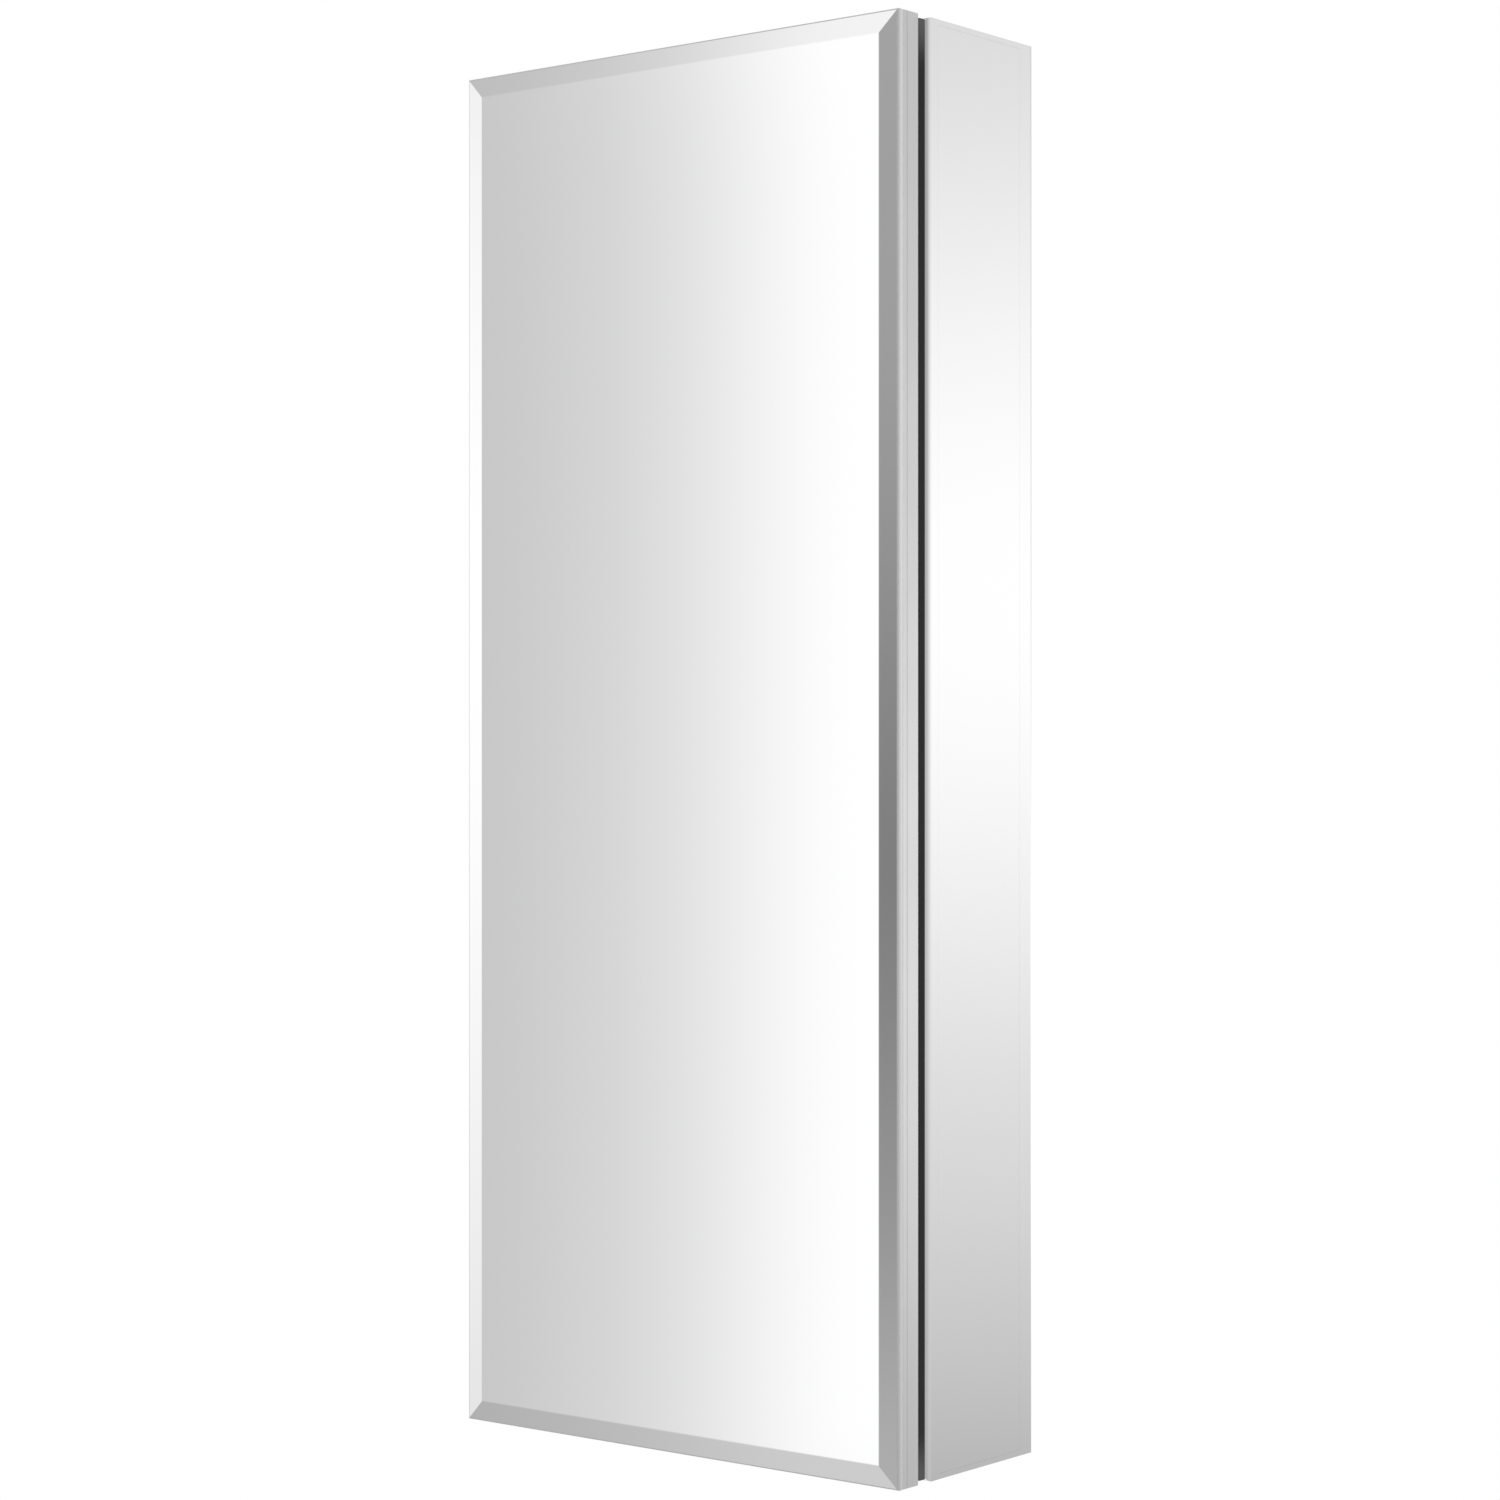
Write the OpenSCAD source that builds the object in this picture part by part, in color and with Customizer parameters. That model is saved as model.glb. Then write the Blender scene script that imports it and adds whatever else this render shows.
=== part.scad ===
// Wall-hung medicine cabinet with a bevelled mirror door and mirrored sides.
// Millimetres. +Z is up and the door faces -Y. The origin lies on the wall plane, in the middle
// of the four wall screws.

/* [Cabinet] */
// Width over the side walls
cab_w = 302; // [240:1:460]
// Height over the top and bottom walls
cab_h = 762; // [600:1:1000]
// Depth from the wall to the front of the door glass
cab_d = 124.4; // [100:0.1:165]
// Thickness of the extruded wall profile
wall_t = 20; // [20:0.5:26]
// Skin of the extruded wall profile
skin = 1.8; // [1.4:0.1:2]
// Radius of the profile's front outer edge
edge_r = 4; // [2:0.5:4]
// Radius of the profile's front inner edge
inner_edge_r = 0.8; // [0.4:0.1:1]
// Radius of the profile's rear outer edge
rear_edge_r = 1; // [0.5:0.5:2]
// Thickness of the profile's rear leg, which stands on the wall
leg_t = 8; // [7:0.5:10]
// Room behind the back sheet for the hanging rail
rail_room = 8.3; // [8.3:0.1:12]

/* [Mirrored sides] */
// Thickness of a side mirror
side_glass = 3; // [2:0.5:3]
// Width of the bare profile in front of a side mirror
side_lip_front = 10; // [7:0.5:14]
// Width of the bare profile behind a side mirror
side_lip_rear = 12; // [8:0.5:14]
// Width of the bare profile above and below a side mirror
side_lip_end = 3; // [2:0.5:6]

/* [Door] */
// Thickness of the whole door
door_t = 19.2; // [16:0.1:22]
// Gap between the door and the cabinet body
door_gap = 7.5; // [6.5:0.1:9]
// Thickness of the front mirror glass
front_glass = 5; // [4:0.5:6]
// Width of the bevel ground round the front mirror
bevel_w = 11.5; // [8:0.5:20]
// Depth of the bevel at the edge of the glass
bevel_drop = 1.2; // [1:0.1:2.5]
// Width of the door frame profile
stile_w = 24; // [21:0.5:32]
// Width of the profile's lip round the inner mirror
lip_w = 14; // [12:0.5:16]
// Skin of the door frame profile
stile_skin = 1.5; // [1.2:0.1:1.8]
// Distance from the glass to the groove round the door's edge
groove_q = 4; // [2.5:0.1:5]
// Width of that groove
groove_w = 0.4; // [0.3:0.1:1.5]
// Depth of that groove
groove_deep = 0.2; // [0.1:0.1:0.8]
// Radius of the door frame's edges
door_edge_r = 0.8; // [0.4:0.1:1.2]

/* [Inner glass] */
// Thickness of the mirror inside the door
inner_glass = 3; // [3:0.5:4]
// Thickness of the mirror inside the back
back_glass = 3; // [3:0.5:5]
// Thickness of the back sheet
back_sheet_t = 1.2; // [0.8:0.1:2]

/* [Shelves] */
// Thickness of the shelf glass
shelf_t = 5; // [4:0.5:6]
// Distance from the back mirror to a shelf
shelf_back = 2.5; // [2:0.5:6]
// Distance from the front of the body to a shelf
shelf_front = 5; // [3:0.5:10]
// Radius of a shelf's corners
shelf_corner_r = 3; // [1:0.5:5]
// Width of the chamfer ground round a shelf's edges
shelf_arris = 0.5; // [0.3:0.1:1]
// Width of a clamp along the shelf's edge
clamp_w = 14; // [12:0.5:18]
// Height of a clamp's jaw above the glass
clamp_upper = 3; // [2.5:0.5:5]
// Height of a clamp's jaw below the glass, which holds the screw
clamp_lower = 10; // [9:0.5:14]
// Reach of a clamp from the wall
clamp_reach = 11; // [9:0.5:14]
// Depth of the glass in a clamp
shelf_grip = 8; // [6:0.5:8.5]
// Width of a track's mouth
track_mouth = 4.4; // [4:0.1:6]
// Width of a track behind its mouth
track_wide = 8.4; // [7.5:0.1:9]
// Depth of a track behind its mouth
track_deep = 3.6; // [3:0.1:4.5]
// Distance from the front of the body to the front track
track_front_q = 22; // [20:1:26]
// Distance from the rear track to the ledge of the back mirror
track_rear_gap = 19; // [16:1:22]

/* [Hinge] */
// Clearance from a knuckle to the door and to the body
knuckle_room = 0.45; // [0.3:0.05:0.6]
// Radius of the hinge pin
pin_r = 1.2; // [1:0.1:1.4]
// Length of a knuckle before the count is rounded
knuckle_l = 24; // [16:1:36]
// Thickness of a hinge leaf
leaf_t = 1; // [0.8:0.1:1.2]
// Reach of a leaf from the pin
leaf_w = 10.5; // [10:0.5:11]
// Distance from the side of the cabinet to the pin
pin_inset = 3; // [2.6:0.1:3.2]
// Number of screws in a leaf
leaf_screws = 9; // [5:1:12]

/* [Catches] */
// Distance from the side wall to the middle of a catch
catch_in = 24; // [22:1:40]
// Width of a catch over its ears
catch_w = 38; // [36:1:44]
// Height of a catch
catch_h = 12; // [11:0.5:14]
// Thickness of a strike plate
strike_t = 1.2; // [0.8:0.1:1.5]

/* [Wall fixing] */
// Distance between the two wall screws of a pair
screw_span_x = 200; // [160:1:210]
// Distance from the upper wall screws to the lower ones
screw_span_z = 620; // [460:1:624]
// Radius of the wall screw holes
screw_hole_r = 2.75; // [2.25:0.05:3.25]
// Thickness of the hanging rail's sheet
rail_t = 2; // [1.6:0.1:2]
// Length of the hanging rail
rail_l = 240; // [220:1:244]

/* [Hidden] */
$fn = 48;
eps = 0.01;
far = 3000;
fit = 0.3;                                   // clearance of a loose fit
snug = 0.15;                                 // clearance of a close fit
run = 0.06;                                  // radial clearance of the hinge pin

body_d = cab_d - door_t - door_gap;          // depth of the cabinet body
body_front = -body_d;
door_back = body_front - door_gap;
glass_back = -cab_d + front_glass;           // rear face of the front mirror
frame_t = door_t - front_glass;              // thickness of the door frame profile
stile_edge = 2.1;                            // wall of that profile along the door's edge

sheet_rear = -rail_room;                     // rear face of the back sheet
mirror_rear = sheet_rear - back_sheet_t;
mirror_face = mirror_rear - back_glass;
ledge_q = body_d + mirror_face;              // from the front of the body to the mirror's ledge
inside_w = cab_w - 2 * wall_t;
inside_h = cab_h - 2 * wall_t;

// Screws: shank radius, head radius, head height
small_screw = [1.2, 2.3, 1.1];
clamp_screw = [1.5, 2.8, 1.8];
pilot = 0.04;                                // how much wider than its screw a pilot hole is
recess_w = 0.55;                             // width of the cross cut in a screw's head

// Seal, with its foot in a T-shaped slot in the profile's front
seal_w = 6;
seal_h = door_gap - fit;
seal_wall = 0.9;
seal_inset = 1.5;
seal_hinge_inset = pin_inset + leaf_w + 0.4;
slot_mouth = 2.4;
slot_wide = 4.4;
slot_deep = 1.6;
slot_skin = 1.6;

// Hollows of the wall profile
hollow_p = [side_glass + skin, wall_t - skin];
hollow_q = slot_skin + slot_deep + skin;
track_rear_q = ledge_q - track_rear_gap;
track_web = track_wide / 2 + skin;
key_q = (track_front_q + track_rear_q) / 2;
key_t = 10;                                  // thickness of a wall corner key
key_l = 46;                                  // length of a wall corner key's leg
key_screw_s = 33;                            // from the corner of the cabinet to a key's screw

// Shelves
shelf_w = inside_w - 2 * (clamp_reach - shelf_grip);
shelf_d = ledge_q - shelf_back - shelf_front;
shelf_count = 3;
shelf_step = inside_h / (shelf_count + 1);
clamp_screw_drop = clamp_lower / 2 + 0.2;    // from the glass down to the screw
nut_h = 16;
nut_t = track_deep - 2 * fit;

// Hinge
pin_x = -cab_w / 2 + pin_inset;
pin_y = body_front - door_gap / 2;
hinge_l = cab_h - 12;
knuckle_r = door_gap / 2 - knuckle_room;
knuckle_count = 2 * floor(hinge_l / knuckle_l / 2) + 1;
knuckle_pitch = hinge_l / knuckle_count;
knuckle_space = 0.25;
leaf_clear = knuckle_r + 0.4;                // from the pin to the edge of a leaf's plate
leaf_screw_x = pin_x + (leaf_clear + leaf_w) / 2;

// Catches
catch_x = inside_w / 2 - catch_in;
pole_front = door_back + strike_t + fit;
magnet_w = 22;
magnet_h = 6;
magnet_d = 9;
pole_t = 1.2;
pole_out = 1.5;                              // how far the poles stand out of the housing
housing_d = 16;
housing_w = 28;
ear_h = 3.5;

// Wall fixing
rail_screw_z = screw_span_z / 2;
rail_base_h = 24;
rail_lip_h = 13;
rail_step = 2 * rail_t + 2 * snug;           // from the wall to the front of the rail's lip, less its sheet
rail_bend_z = rail_screw_z + rail_base_h / 2;
rail_top = rail_bend_z + rail_t + rail_lip_h;
bracket_base_h = 18;
bracket_lip_h = 10;
spacer_r = 7;
spacer_flange_r = 10;
spacer_flange_t = 1;

// Puts its children at one bar of a frame. There, x runs inwards from the outer face, z runs along
// the bar from its middle and y is the cabinet's own. The bar is `across` apart from its opposite.
// turn is 0 for the left bar, 90 for the top, 180 for the right and 270 for the bottom.
module at_bar(turn, across) {
    rotate([0, turn, 0]) translate([-across / 2, 0, 0]) children();
}

// One bar with its ends cut at 45 degrees. The children are its section, with its front at y0.
module mitred_bar(turn, across, along, y0, reach) {
    at_bar(turn, across)
        intersection() {
            translate([0, y0, -along / 2]) linear_extrude(along) children();
            translate([0, far / 2, 0]) rotate([90, 0, 0]) linear_extrude(far)
                polygon([[-eps, -along / 2 - eps], [reach, -along / 2 + reach],
                         [reach, along / 2 - reach], [-eps, along / 2 + eps]]);
        }
}

// A box between two opposite corners
module box(low, high) {
    translate(low) cube(high - low);
}

// A cylinder along Y from y0 to y1
module y_bore(r, x, y0, y1, z) {
    translate([x, y0, z]) rotate([-90, 0, 0]) cylinder(r = r, h = y1 - y0);
}

// A rectangle with round corners, made of squares and circles so that its arcs stay true
module round_rect(size, r) {
    translate([r, 0]) square([size.x - 2 * r, size.y]);
    translate([0, r]) square([size.x, size.y - 2 * r]);
    for (x = [r, size.x - r], y = [r, size.y - r])
        translate([x, y]) circle(r);
}

// A pan head screw: its head stands on z = 0 and its shank runs down
module screw(kind, shank_l) {
    translate([0, 0, -shank_l]) cylinder(r = kind[0], h = shank_l + eps);
    difference() {
        union() {
            cylinder(r = kind[1], h = kind[2] * 0.6);
            translate([0, 0, kind[2] * 0.6]) cylinder(r1 = kind[1], r2 = kind[1] * 0.7, h = kind[2] * 0.4);
        }
        for (a = [0, 90])
            rotate([0, 0, a]) translate([0, 0, kind[2]])
                cube([kind[1] * 1.2, recess_w, kind[2]], center = true);
    }
}

// The pilot hole of such a screw
module pilot_hole(kind, depth) {
    translate([0, 0, -depth]) cylinder(r = kind[0] + pilot, h = depth + 1);
}

// Section of a wall profile. p runs inwards from its outer face and q back from its front.
module wall_section(seal_p, tracks) {
    difference() {
        union() {
            translate([edge_r, 0]) square([wall_t - edge_r - inner_edge_r, ledge_q]);
            translate([0, edge_r]) square([wall_t, ledge_q - edge_r]);
            translate([wall_t - 2, inner_edge_r]) square([2, edge_r]);
            translate([0, edge_r]) square([leg_t, body_d - edge_r - rear_edge_r]);
            translate([rear_edge_r, edge_r]) square([leg_t - rear_edge_r, body_d - edge_r]);
            translate([rear_edge_r, body_d - rear_edge_r]) circle(rear_edge_r);
            translate([edge_r, edge_r]) circle(edge_r);
            translate([wall_t - inner_edge_r, inner_edge_r]) circle(inner_edge_r);
        }
        translate([seal_p - slot_mouth / 2, -eps]) square([slot_mouth, slot_skin + 2 * eps]);
        translate([seal_p - slot_wide / 2, slot_skin]) square([slot_wide, slot_deep]);
        hollow(hollow_q, track_front_q - track_web);
        hollow(track_front_q + track_web, key_q - key_t / 2 - skin);
        hollow(key_q - key_t / 2, key_q + key_t / 2);
        hollow(key_q + key_t / 2 + skin, track_rear_q - track_web);
        hollow(track_rear_q + track_web, ledge_q - skin);
        for (q = [track_front_q, track_rear_q]) {
            translate([hollow_p[0], q - track_wide / 2])
                square([wall_t - track_deep - 2 * skin - hollow_p[0], track_wide]);
            if (tracks) {
                translate([wall_t - skin - eps, q - track_mouth / 2]) square([skin + 1, track_mouth]);
                translate([wall_t - skin - track_deep, q - track_wide / 2]) square([track_deep, track_wide]);
            }
        }
    }
}

// One hollow of the wall profile, between two distances from its front
module hollow(q0, q1) {
    translate([hollow_p[0], q0]) square([hollow_p[1] - hollow_p[0], q1 - q0]);
}

// A wall: its bar, less the holes for the screws of the corner keys and the back's clips
module wall(turn, across, along, seal_p, clips, tracks = false) {
    difference() {
        mitred_bar(turn, across, along, body_front, wall_t) wall_section(seal_p, tracks);
        at_bar(turn, across) {
            key_screw_places(along) pilot_hole(small_screw, skin + 1);
            clip_screw_places(clips) pilot_hole(small_screw, clip_screw_l + fit);
        }
    }
}

// A side wall also has the shelves' tracks inside and a shallow recess for its mirror outside
module side_wall(turn, seal_p) {
    difference() {
        wall(turn, cab_w, cab_h, seal_p, side_clips, tracks = true);
        side_recess(turn, 0, 1);
    }
}

// The room of a side mirror, drawn in by a clearance; out is how far it stands off the side
module side_recess(turn, room, out) {
    at_bar(turn, cab_w)
        box([-out, body_front + side_lip_front + room, -cab_h / 2 + side_lip_end + room],
            [side_glass - room, -side_lip_rear - room, cab_h / 2 - side_lip_end - room]);
}

// The places of a bar's two key screws, on its inner face
module key_screw_places(along) {
    for (s = [-1, 1])
        translate([wall_t, body_front + key_q, s * (along / 2 - key_screw_s)])
            rotate([0, 90, 0]) children();
}

module left_wall() {
    color("silver") difference() {
        side_wall(0, seal_hinge_inset + seal_w / 2);
        leaf_screw_places(body_front) pilot_hole(small_screw, leaf_screw_l);
    }
}

module right_wall() {
    color("silver") side_wall(180, seal_inset + seal_w / 2);
}

module top_wall() {
    color("silver") difference() {
        wall(90, cab_h, cab_w, seal_inset + seal_w / 2, end_clips);
        at_catch() catch_screw_places() pilot_hole(small_screw, catch_screw_l);
    }
}

module bottom_wall() {
    color("silver") difference() {
        wall(270, cab_h, cab_w, seal_inset + seal_w / 2, end_clips);
        mirror([0, 0, 1]) at_catch() catch_screw_places() pilot_hole(small_screw, catch_screw_l);
    }
}

// An L-shaped key for each corner, which fills the key hollow of two walls
module wall_corner_keys() {
    outer = hollow_p[0] + snug;
    inner = hollow_p[1] - snug;
    color("dimgray") difference() {
        at_corners(cab_w, cab_h)
            translate([0, body_front + key_q - key_t / 2 + snug, 0])
                l_key(outer, inner, key_l, key_t - 2 * snug);
        for (b = bars)
            at_bar(b[0], b[1]) key_screw_places(b[2]) pilot_hole(small_screw, key_screw_l);
    }
}

// Its children stand at each corner of a frame, with x and z running inwards from the outer corner
module at_corners(w, h) {
    for (mx = [0, 1], mz = [0, 1])
        mirror([mx, 0, 0]) mirror([0, 0, mz])
            translate([-w / 2, 0, -h / 2]) children();
}

// An L-shaped key in the XZ plane, t thick along Y
module l_key(outer, inner, leg, t) {
    translate([0, t, 0]) rotate([90, 0, 0]) linear_extrude(t) difference() {
        translate([outer, outer]) square(leg);
        translate([inner, inner]) square(leg);
    }
}

// The four bars of the body: turn, distance across, length
bars = [[0, cab_w, cab_h], [90, cab_h, cab_w], [180, cab_w, cab_h], [270, cab_h, cab_w]];
key_screw_l = skin + 7;

module wall_key_screws() {
    color("gainsboro") for (b = bars)
        at_bar(b[0], b[1]) key_screw_places(b[2]) screw(small_screw, key_screw_l - fit);
}

module left_side_mirror() {
    color("lightsteelblue") side_recess(0, snug, 0);
}

module right_side_mirror() {
    color("lightsteelblue") side_recess(180, snug, 0);
}

// The back: a mirror on the ledge and a steel sheet behind it, with holes for the lower wall screws
module back_panel(y0, y1, hole_r) {
    difference() {
        box([-cab_w / 2 + leg_t + fit, y0, -cab_h / 2 + leg_t + fit],
            [cab_w / 2 - leg_t - fit, y1, cab_h / 2 - leg_t - fit]);
        for (s = [-1, 1])
            y_bore(hole_r, s * screw_span_x / 2, y0 - 1, y1 + 1, -rail_screw_z);
    }
}

module back_mirror() {
    color("lightsteelblue") back_panel(mirror_face, mirror_rear, spacer_r + snug);
}

module back_sheet() {
    color("gainsboro") difference() {
        back_panel(mirror_rear, sheet_rear, spacer_r + snug);
        for (x = rivet_xs)
            y_bore(rivet_r, x, mirror_rear - 1, sheet_rear + 1, rivet_z);
    }
}

// Clips that hold the back against its ledge: distances along the side walls and the end walls
side_clips = [-1, 0, 1] * (cab_h / 2 - 120);
end_clips = [-1, 1] * (cab_w / 4);
clip_t = 1.5;
clip_w = 18;
clip_reach = 12;
clip_screw_l = 4.5;
clip_screw_y = -rail_room / 2 + 0.5;

// Places of the clips' screws on the inner face of a bar's rear leg
module clip_screw_places(clips) {
    for (s = clips)
        translate([leg_t, clip_screw_y, s]) rotate([0, 90, 0]) children();
}

// Runs its children for each bar, with that bar's clips as $clips
module each_clipped_bar() {
    for (i = [0:3])
        at_bar(bars[i][0], bars[i][1]) {
            $clips = i % 2 == 0 ? side_clips : end_clips;
            children();
        }
}

module back_clips() {
    color("silver") each_clipped_bar() difference() {
        for (s = $clips)
            translate([leg_t, 0, s]) {
                box([0, sheet_rear, -clip_w / 2], [clip_reach, sheet_rear + clip_t, clip_w / 2]);
                box([0, sheet_rear, -clip_w / 2], [clip_t, -1, clip_w / 2]);
            }
        clip_screw_places($clips) translate([0, 0, clip_t]) pilot_hole(small_screw, 2 * clip_t);
    }
}

module back_clip_screws() {
    color("gainsboro") each_clipped_bar()
        clip_screw_places($clips) translate([0, 0, clip_t]) screw(small_screw, clip_screw_l);
}

// Section of the seal: a hollow bulb that stands on the profile. x is across it and y runs back.
module seal_section() {
    difference() {
        translate([0, -seal_h]) {
            translate([0, seal_w / 2]) square([seal_w, seal_h - seal_w / 2]);
            translate([seal_w / 2, seal_w / 2]) circle(seal_w / 2);
        }
        translate([seal_w / 2, -seal_h + seal_w / 2]) circle(seal_w / 2 - seal_wall);
        translate([seal_wall, -seal_h + seal_w / 2])
            square([seal_w - 2 * seal_wall, seal_h - seal_w / 2 - seal_wall]);
    }
}

// The seal's rectangle is narrower than the cabinet on the hinge side, to clear the hinge
seal_box_w = cab_w - seal_hinge_inset - seal_inset;
seal_box_h = cab_h - 2 * seal_inset;
seal_shift = (seal_hinge_inset - seal_inset) / 2;

module seal_strip(turn, across, along, seal_p, foot_l) {
    translate([seal_shift, 0, 0])
        mitred_bar(turn, across, along - snug, body_front, seal_w) seal_section();
    translate([turn % 180 == 0 ? 0 : seal_shift, 0, 0])
        at_bar(turn, turn % 180 == 0 ? cab_w : cab_h)
            translate([seal_p, body_front, -foot_l / 2]) {
                translate([-slot_mouth / 2 + snug, -eps, 0])
                    cube([slot_mouth - 2 * snug, slot_skin + 2 * snug, foot_l]);
                translate([-slot_wide / 2 + snug, slot_skin + snug, 0])
                    cube([slot_wide - 2 * snug, slot_deep - 2 * snug, foot_l]);
            }
}

module hinge_side_seal() {
    color([0.08, 0.08, 0.08])
        seal_strip(0, seal_box_w, seal_box_h, seal_hinge_inset + seal_w / 2, inside_h - 4);
}

module free_side_seal() {
    color([0.08, 0.08, 0.08])
        seal_strip(180, seal_box_w, seal_box_h, seal_inset + seal_w / 2, seal_box_h - 4 * seal_w);
}

module top_seal() {
    color([0.08, 0.08, 0.08])
        seal_strip(90, seal_box_h, seal_box_w, seal_inset + seal_w / 2, seal_box_w - 4 * seal_w);
}

module bottom_seal() {
    color([0.08, 0.08, 0.08])
        seal_strip(270, seal_box_h, seal_box_w, seal_inset + seal_w / 2, seal_box_w - 4 * seal_w);
}

// The rail on the wall and the bracket that hooks over it: strips of folded sheet
module folded_strip(length, points) {
    translate([-length / 2, 0, 0]) rotate([90, 0, 90]) linear_extrude(length) polygon(points);
}

module wall_rail() {
    color("gainsboro") difference() {
        folded_strip(rail_l, [
            [0, rail_screw_z - rail_base_h / 2], [0, rail_bend_z + rail_t],
            [-rail_step, rail_bend_z + rail_t], [-rail_step, rail_top],
            [-rail_step - rail_t, rail_top], [-rail_step - rail_t, rail_bend_z],
            [-rail_t, rail_bend_z], [-rail_t, rail_screw_z - rail_base_h / 2]]);
        for (s = [-1, 1])
            y_bore(screw_hole_r, s * screw_span_x / 2, -rail_t - 1, 1, rail_screw_z);
    }
}

bracket_rear = -rail_t - snug + eps;         // rear face of the bracket's lip
rivet_z = rail_top + rail_t + bracket_base_h / 2;
rivet_xs = [-1.5, -0.5, 0.5, 1.5] * (rail_l / 5);
rivet_r = 1.6;

module hanging_bracket() {
    color("gainsboro") difference() {
        folded_strip(rail_l - 20, [
            [sheet_rear, rail_top], [sheet_rear, rail_top + rail_t + bracket_base_h],
            [sheet_rear + rail_t, rail_top + rail_t + bracket_base_h],
            [sheet_rear + rail_t, rail_top + rail_t], [bracket_rear, rail_top + rail_t],
            [bracket_rear, rail_top - bracket_lip_h], [bracket_rear - rail_t, rail_top - bracket_lip_h],
            [bracket_rear - rail_t, rail_top]]);
        for (x = rivet_xs)
            y_bore(rivet_r, x, sheet_rear - 1, sheet_rear + rail_t + 1, rivet_z);
    }
}

module bracket_rivets() {
    color("silver") for (x = rivet_xs) {
        y_bore(rivet_r, x, mirror_rear, sheet_rear + rail_t + eps, rivet_z);
        y_bore(rivet_r * 1.9, x, sheet_rear + rail_t, sheet_rear + rail_t + 1, rivet_z);
    }
}

module lower_spacers() {
    color("whitesmoke") for (s = [-1, 1]) difference() {
        union() {
            y_bore(spacer_r, s * screw_span_x / 2, mirror_face - eps, 0, -rail_screw_z);
            y_bore(spacer_flange_r, s * screw_span_x / 2, mirror_face - spacer_flange_t, mirror_face,
                   -rail_screw_z);
        }
        y_bore(screw_hole_r, s * screw_span_x / 2, mirror_face - spacer_flange_t - 1, 1, -rail_screw_z);
    }
}

// Places of a leaf's screws, with their heads towards the other leaf
leaf_screw_l = 7;

module leaf_screw_places(y) {
    step = (hinge_l - knuckle_pitch * 2) / (leaf_screws - 1);
    for (i = [0:leaf_screws - 1])
        translate([leaf_screw_x, y, -hinge_l / 2 + knuckle_pitch + i * step])
            rotate([90, 0, 0]) children();
}

module hinge_leaf(first, y0, y1, screws_y) {
    difference() {
        union() {
            box([pin_x + leaf_clear, y0, -hinge_l / 2], [pin_x + leaf_w, y1, hinge_l / 2]);
            for (i = [first:2:knuckle_count - 1])
                translate([pin_x, 0, -hinge_l / 2 + i * knuckle_pitch + knuckle_space / 2]) {
                    translate([0, pin_y, 0]) cylinder(r = knuckle_r, h = knuckle_pitch - knuckle_space);
                    box([0, y0, 0], [leaf_clear + eps, y1, knuckle_pitch - knuckle_space]);
                }
        }
        translate([pin_x, pin_y, -hinge_l]) cylinder(r = pin_r + run, h = 2 * hinge_l);
        leaf_screw_places(screws_y) translate([0, 0, leaf_t]) pilot_hole(small_screw, 3 * leaf_t);
    }
}

module hinge_body_leaf() {
    color("silver") hinge_leaf(0, body_front - leaf_t, body_front, body_front);
}

module hinge_door_leaf() {
    color("silver") hinge_leaf(1, door_back, door_back + leaf_t, door_back);
}

module hinge_pin() {
    color("silver") translate([pin_x, pin_y, 0]) {
        cylinder(r = pin_r, h = hinge_l + eps, center = true);
        for (m = [0, 1])
            mirror([0, 0, m]) translate([0, 0, hinge_l / 2]) cylinder(r = 2 * pin_r, h = 0.8);
    }
}

module hinge_body_screws() {
    color("gainsboro") leaf_screw_places(body_front - leaf_t) screw(small_screw, leaf_screw_l);
}

module hinge_door_screws() {
    color("gainsboro") translate([0, 2 * (door_back + leaf_t), 0]) mirror([0, 1, 0])
        leaf_screw_places(door_back + leaf_t) screw(small_screw, leaf_screw_l);
}

// The upper catch: x and y at the middle of its poles' front, z down from the top wall's face
module at_catch() {
    translate([catch_x, pole_front, inside_h / 2]) children();
}

module both_catches() {
    for (m = [0, 1])
        mirror([0, 0, m]) at_catch() children();
}

catch_screw_l = 8;

// The screws of a catch go up through its ears into the wall
module catch_screw_places() {
    for (s = [-1, 1])
        translate([s * (catch_w + housing_w) / 4, pole_out + housing_d - 4, 0])
            mirror([0, 0, 1]) children();
}

magnet_z = -(catch_h + magnet_h) / 2;        // underside of the magnet in its pocket

module catch_housings() {
    color("white") both_catches() difference() {
        union() {
            box([-housing_w / 2, pole_out, -catch_h], [housing_w / 2, pole_out + housing_d, 0]);
            box([-catch_w / 2, pole_out + housing_d - 8, -ear_h],
                [catch_w / 2, pole_out + housing_d, 0]);
        }
        box([-magnet_w / 2 - snug, pole_out - 1, magnet_z - pole_t - snug],
            [magnet_w / 2 + snug, pole_out + magnet_d + fit, magnet_z + magnet_h + pole_t + snug]);
        catch_screw_places() translate([0, 0, ear_h]) pilot_hole(small_screw, 2 * ear_h);
    }
}

module catch_magnets() {
    color("dimgray") both_catches()
        box([-magnet_w / 2, pole_out + 0.5, magnet_z], [magnet_w / 2, pole_out + magnet_d, magnet_z + magnet_h]);
}

module catch_poles() {
    color("silver") both_catches() for (z = [magnet_z - pole_t, magnet_z + magnet_h])
        box([-magnet_w / 2, 0, z], [magnet_w / 2, pole_out + magnet_d, z + pole_t]);
}

module catch_screws() {
    color("gainsboro") both_catches()
        catch_screw_places() translate([0, 0, ear_h]) screw(small_screw, catch_screw_l);
}

// Steel plates on the door that the catches hold
module strike_plates() {
    color("silver") both_catches()
        translate([-magnet_w / 2, -fit, magnet_z + magnet_h / 2 - 6]) rotate([90, 0, 0])
            linear_extrude(strike_t) round_rect([magnet_w, 12], 1.5);
}

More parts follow.
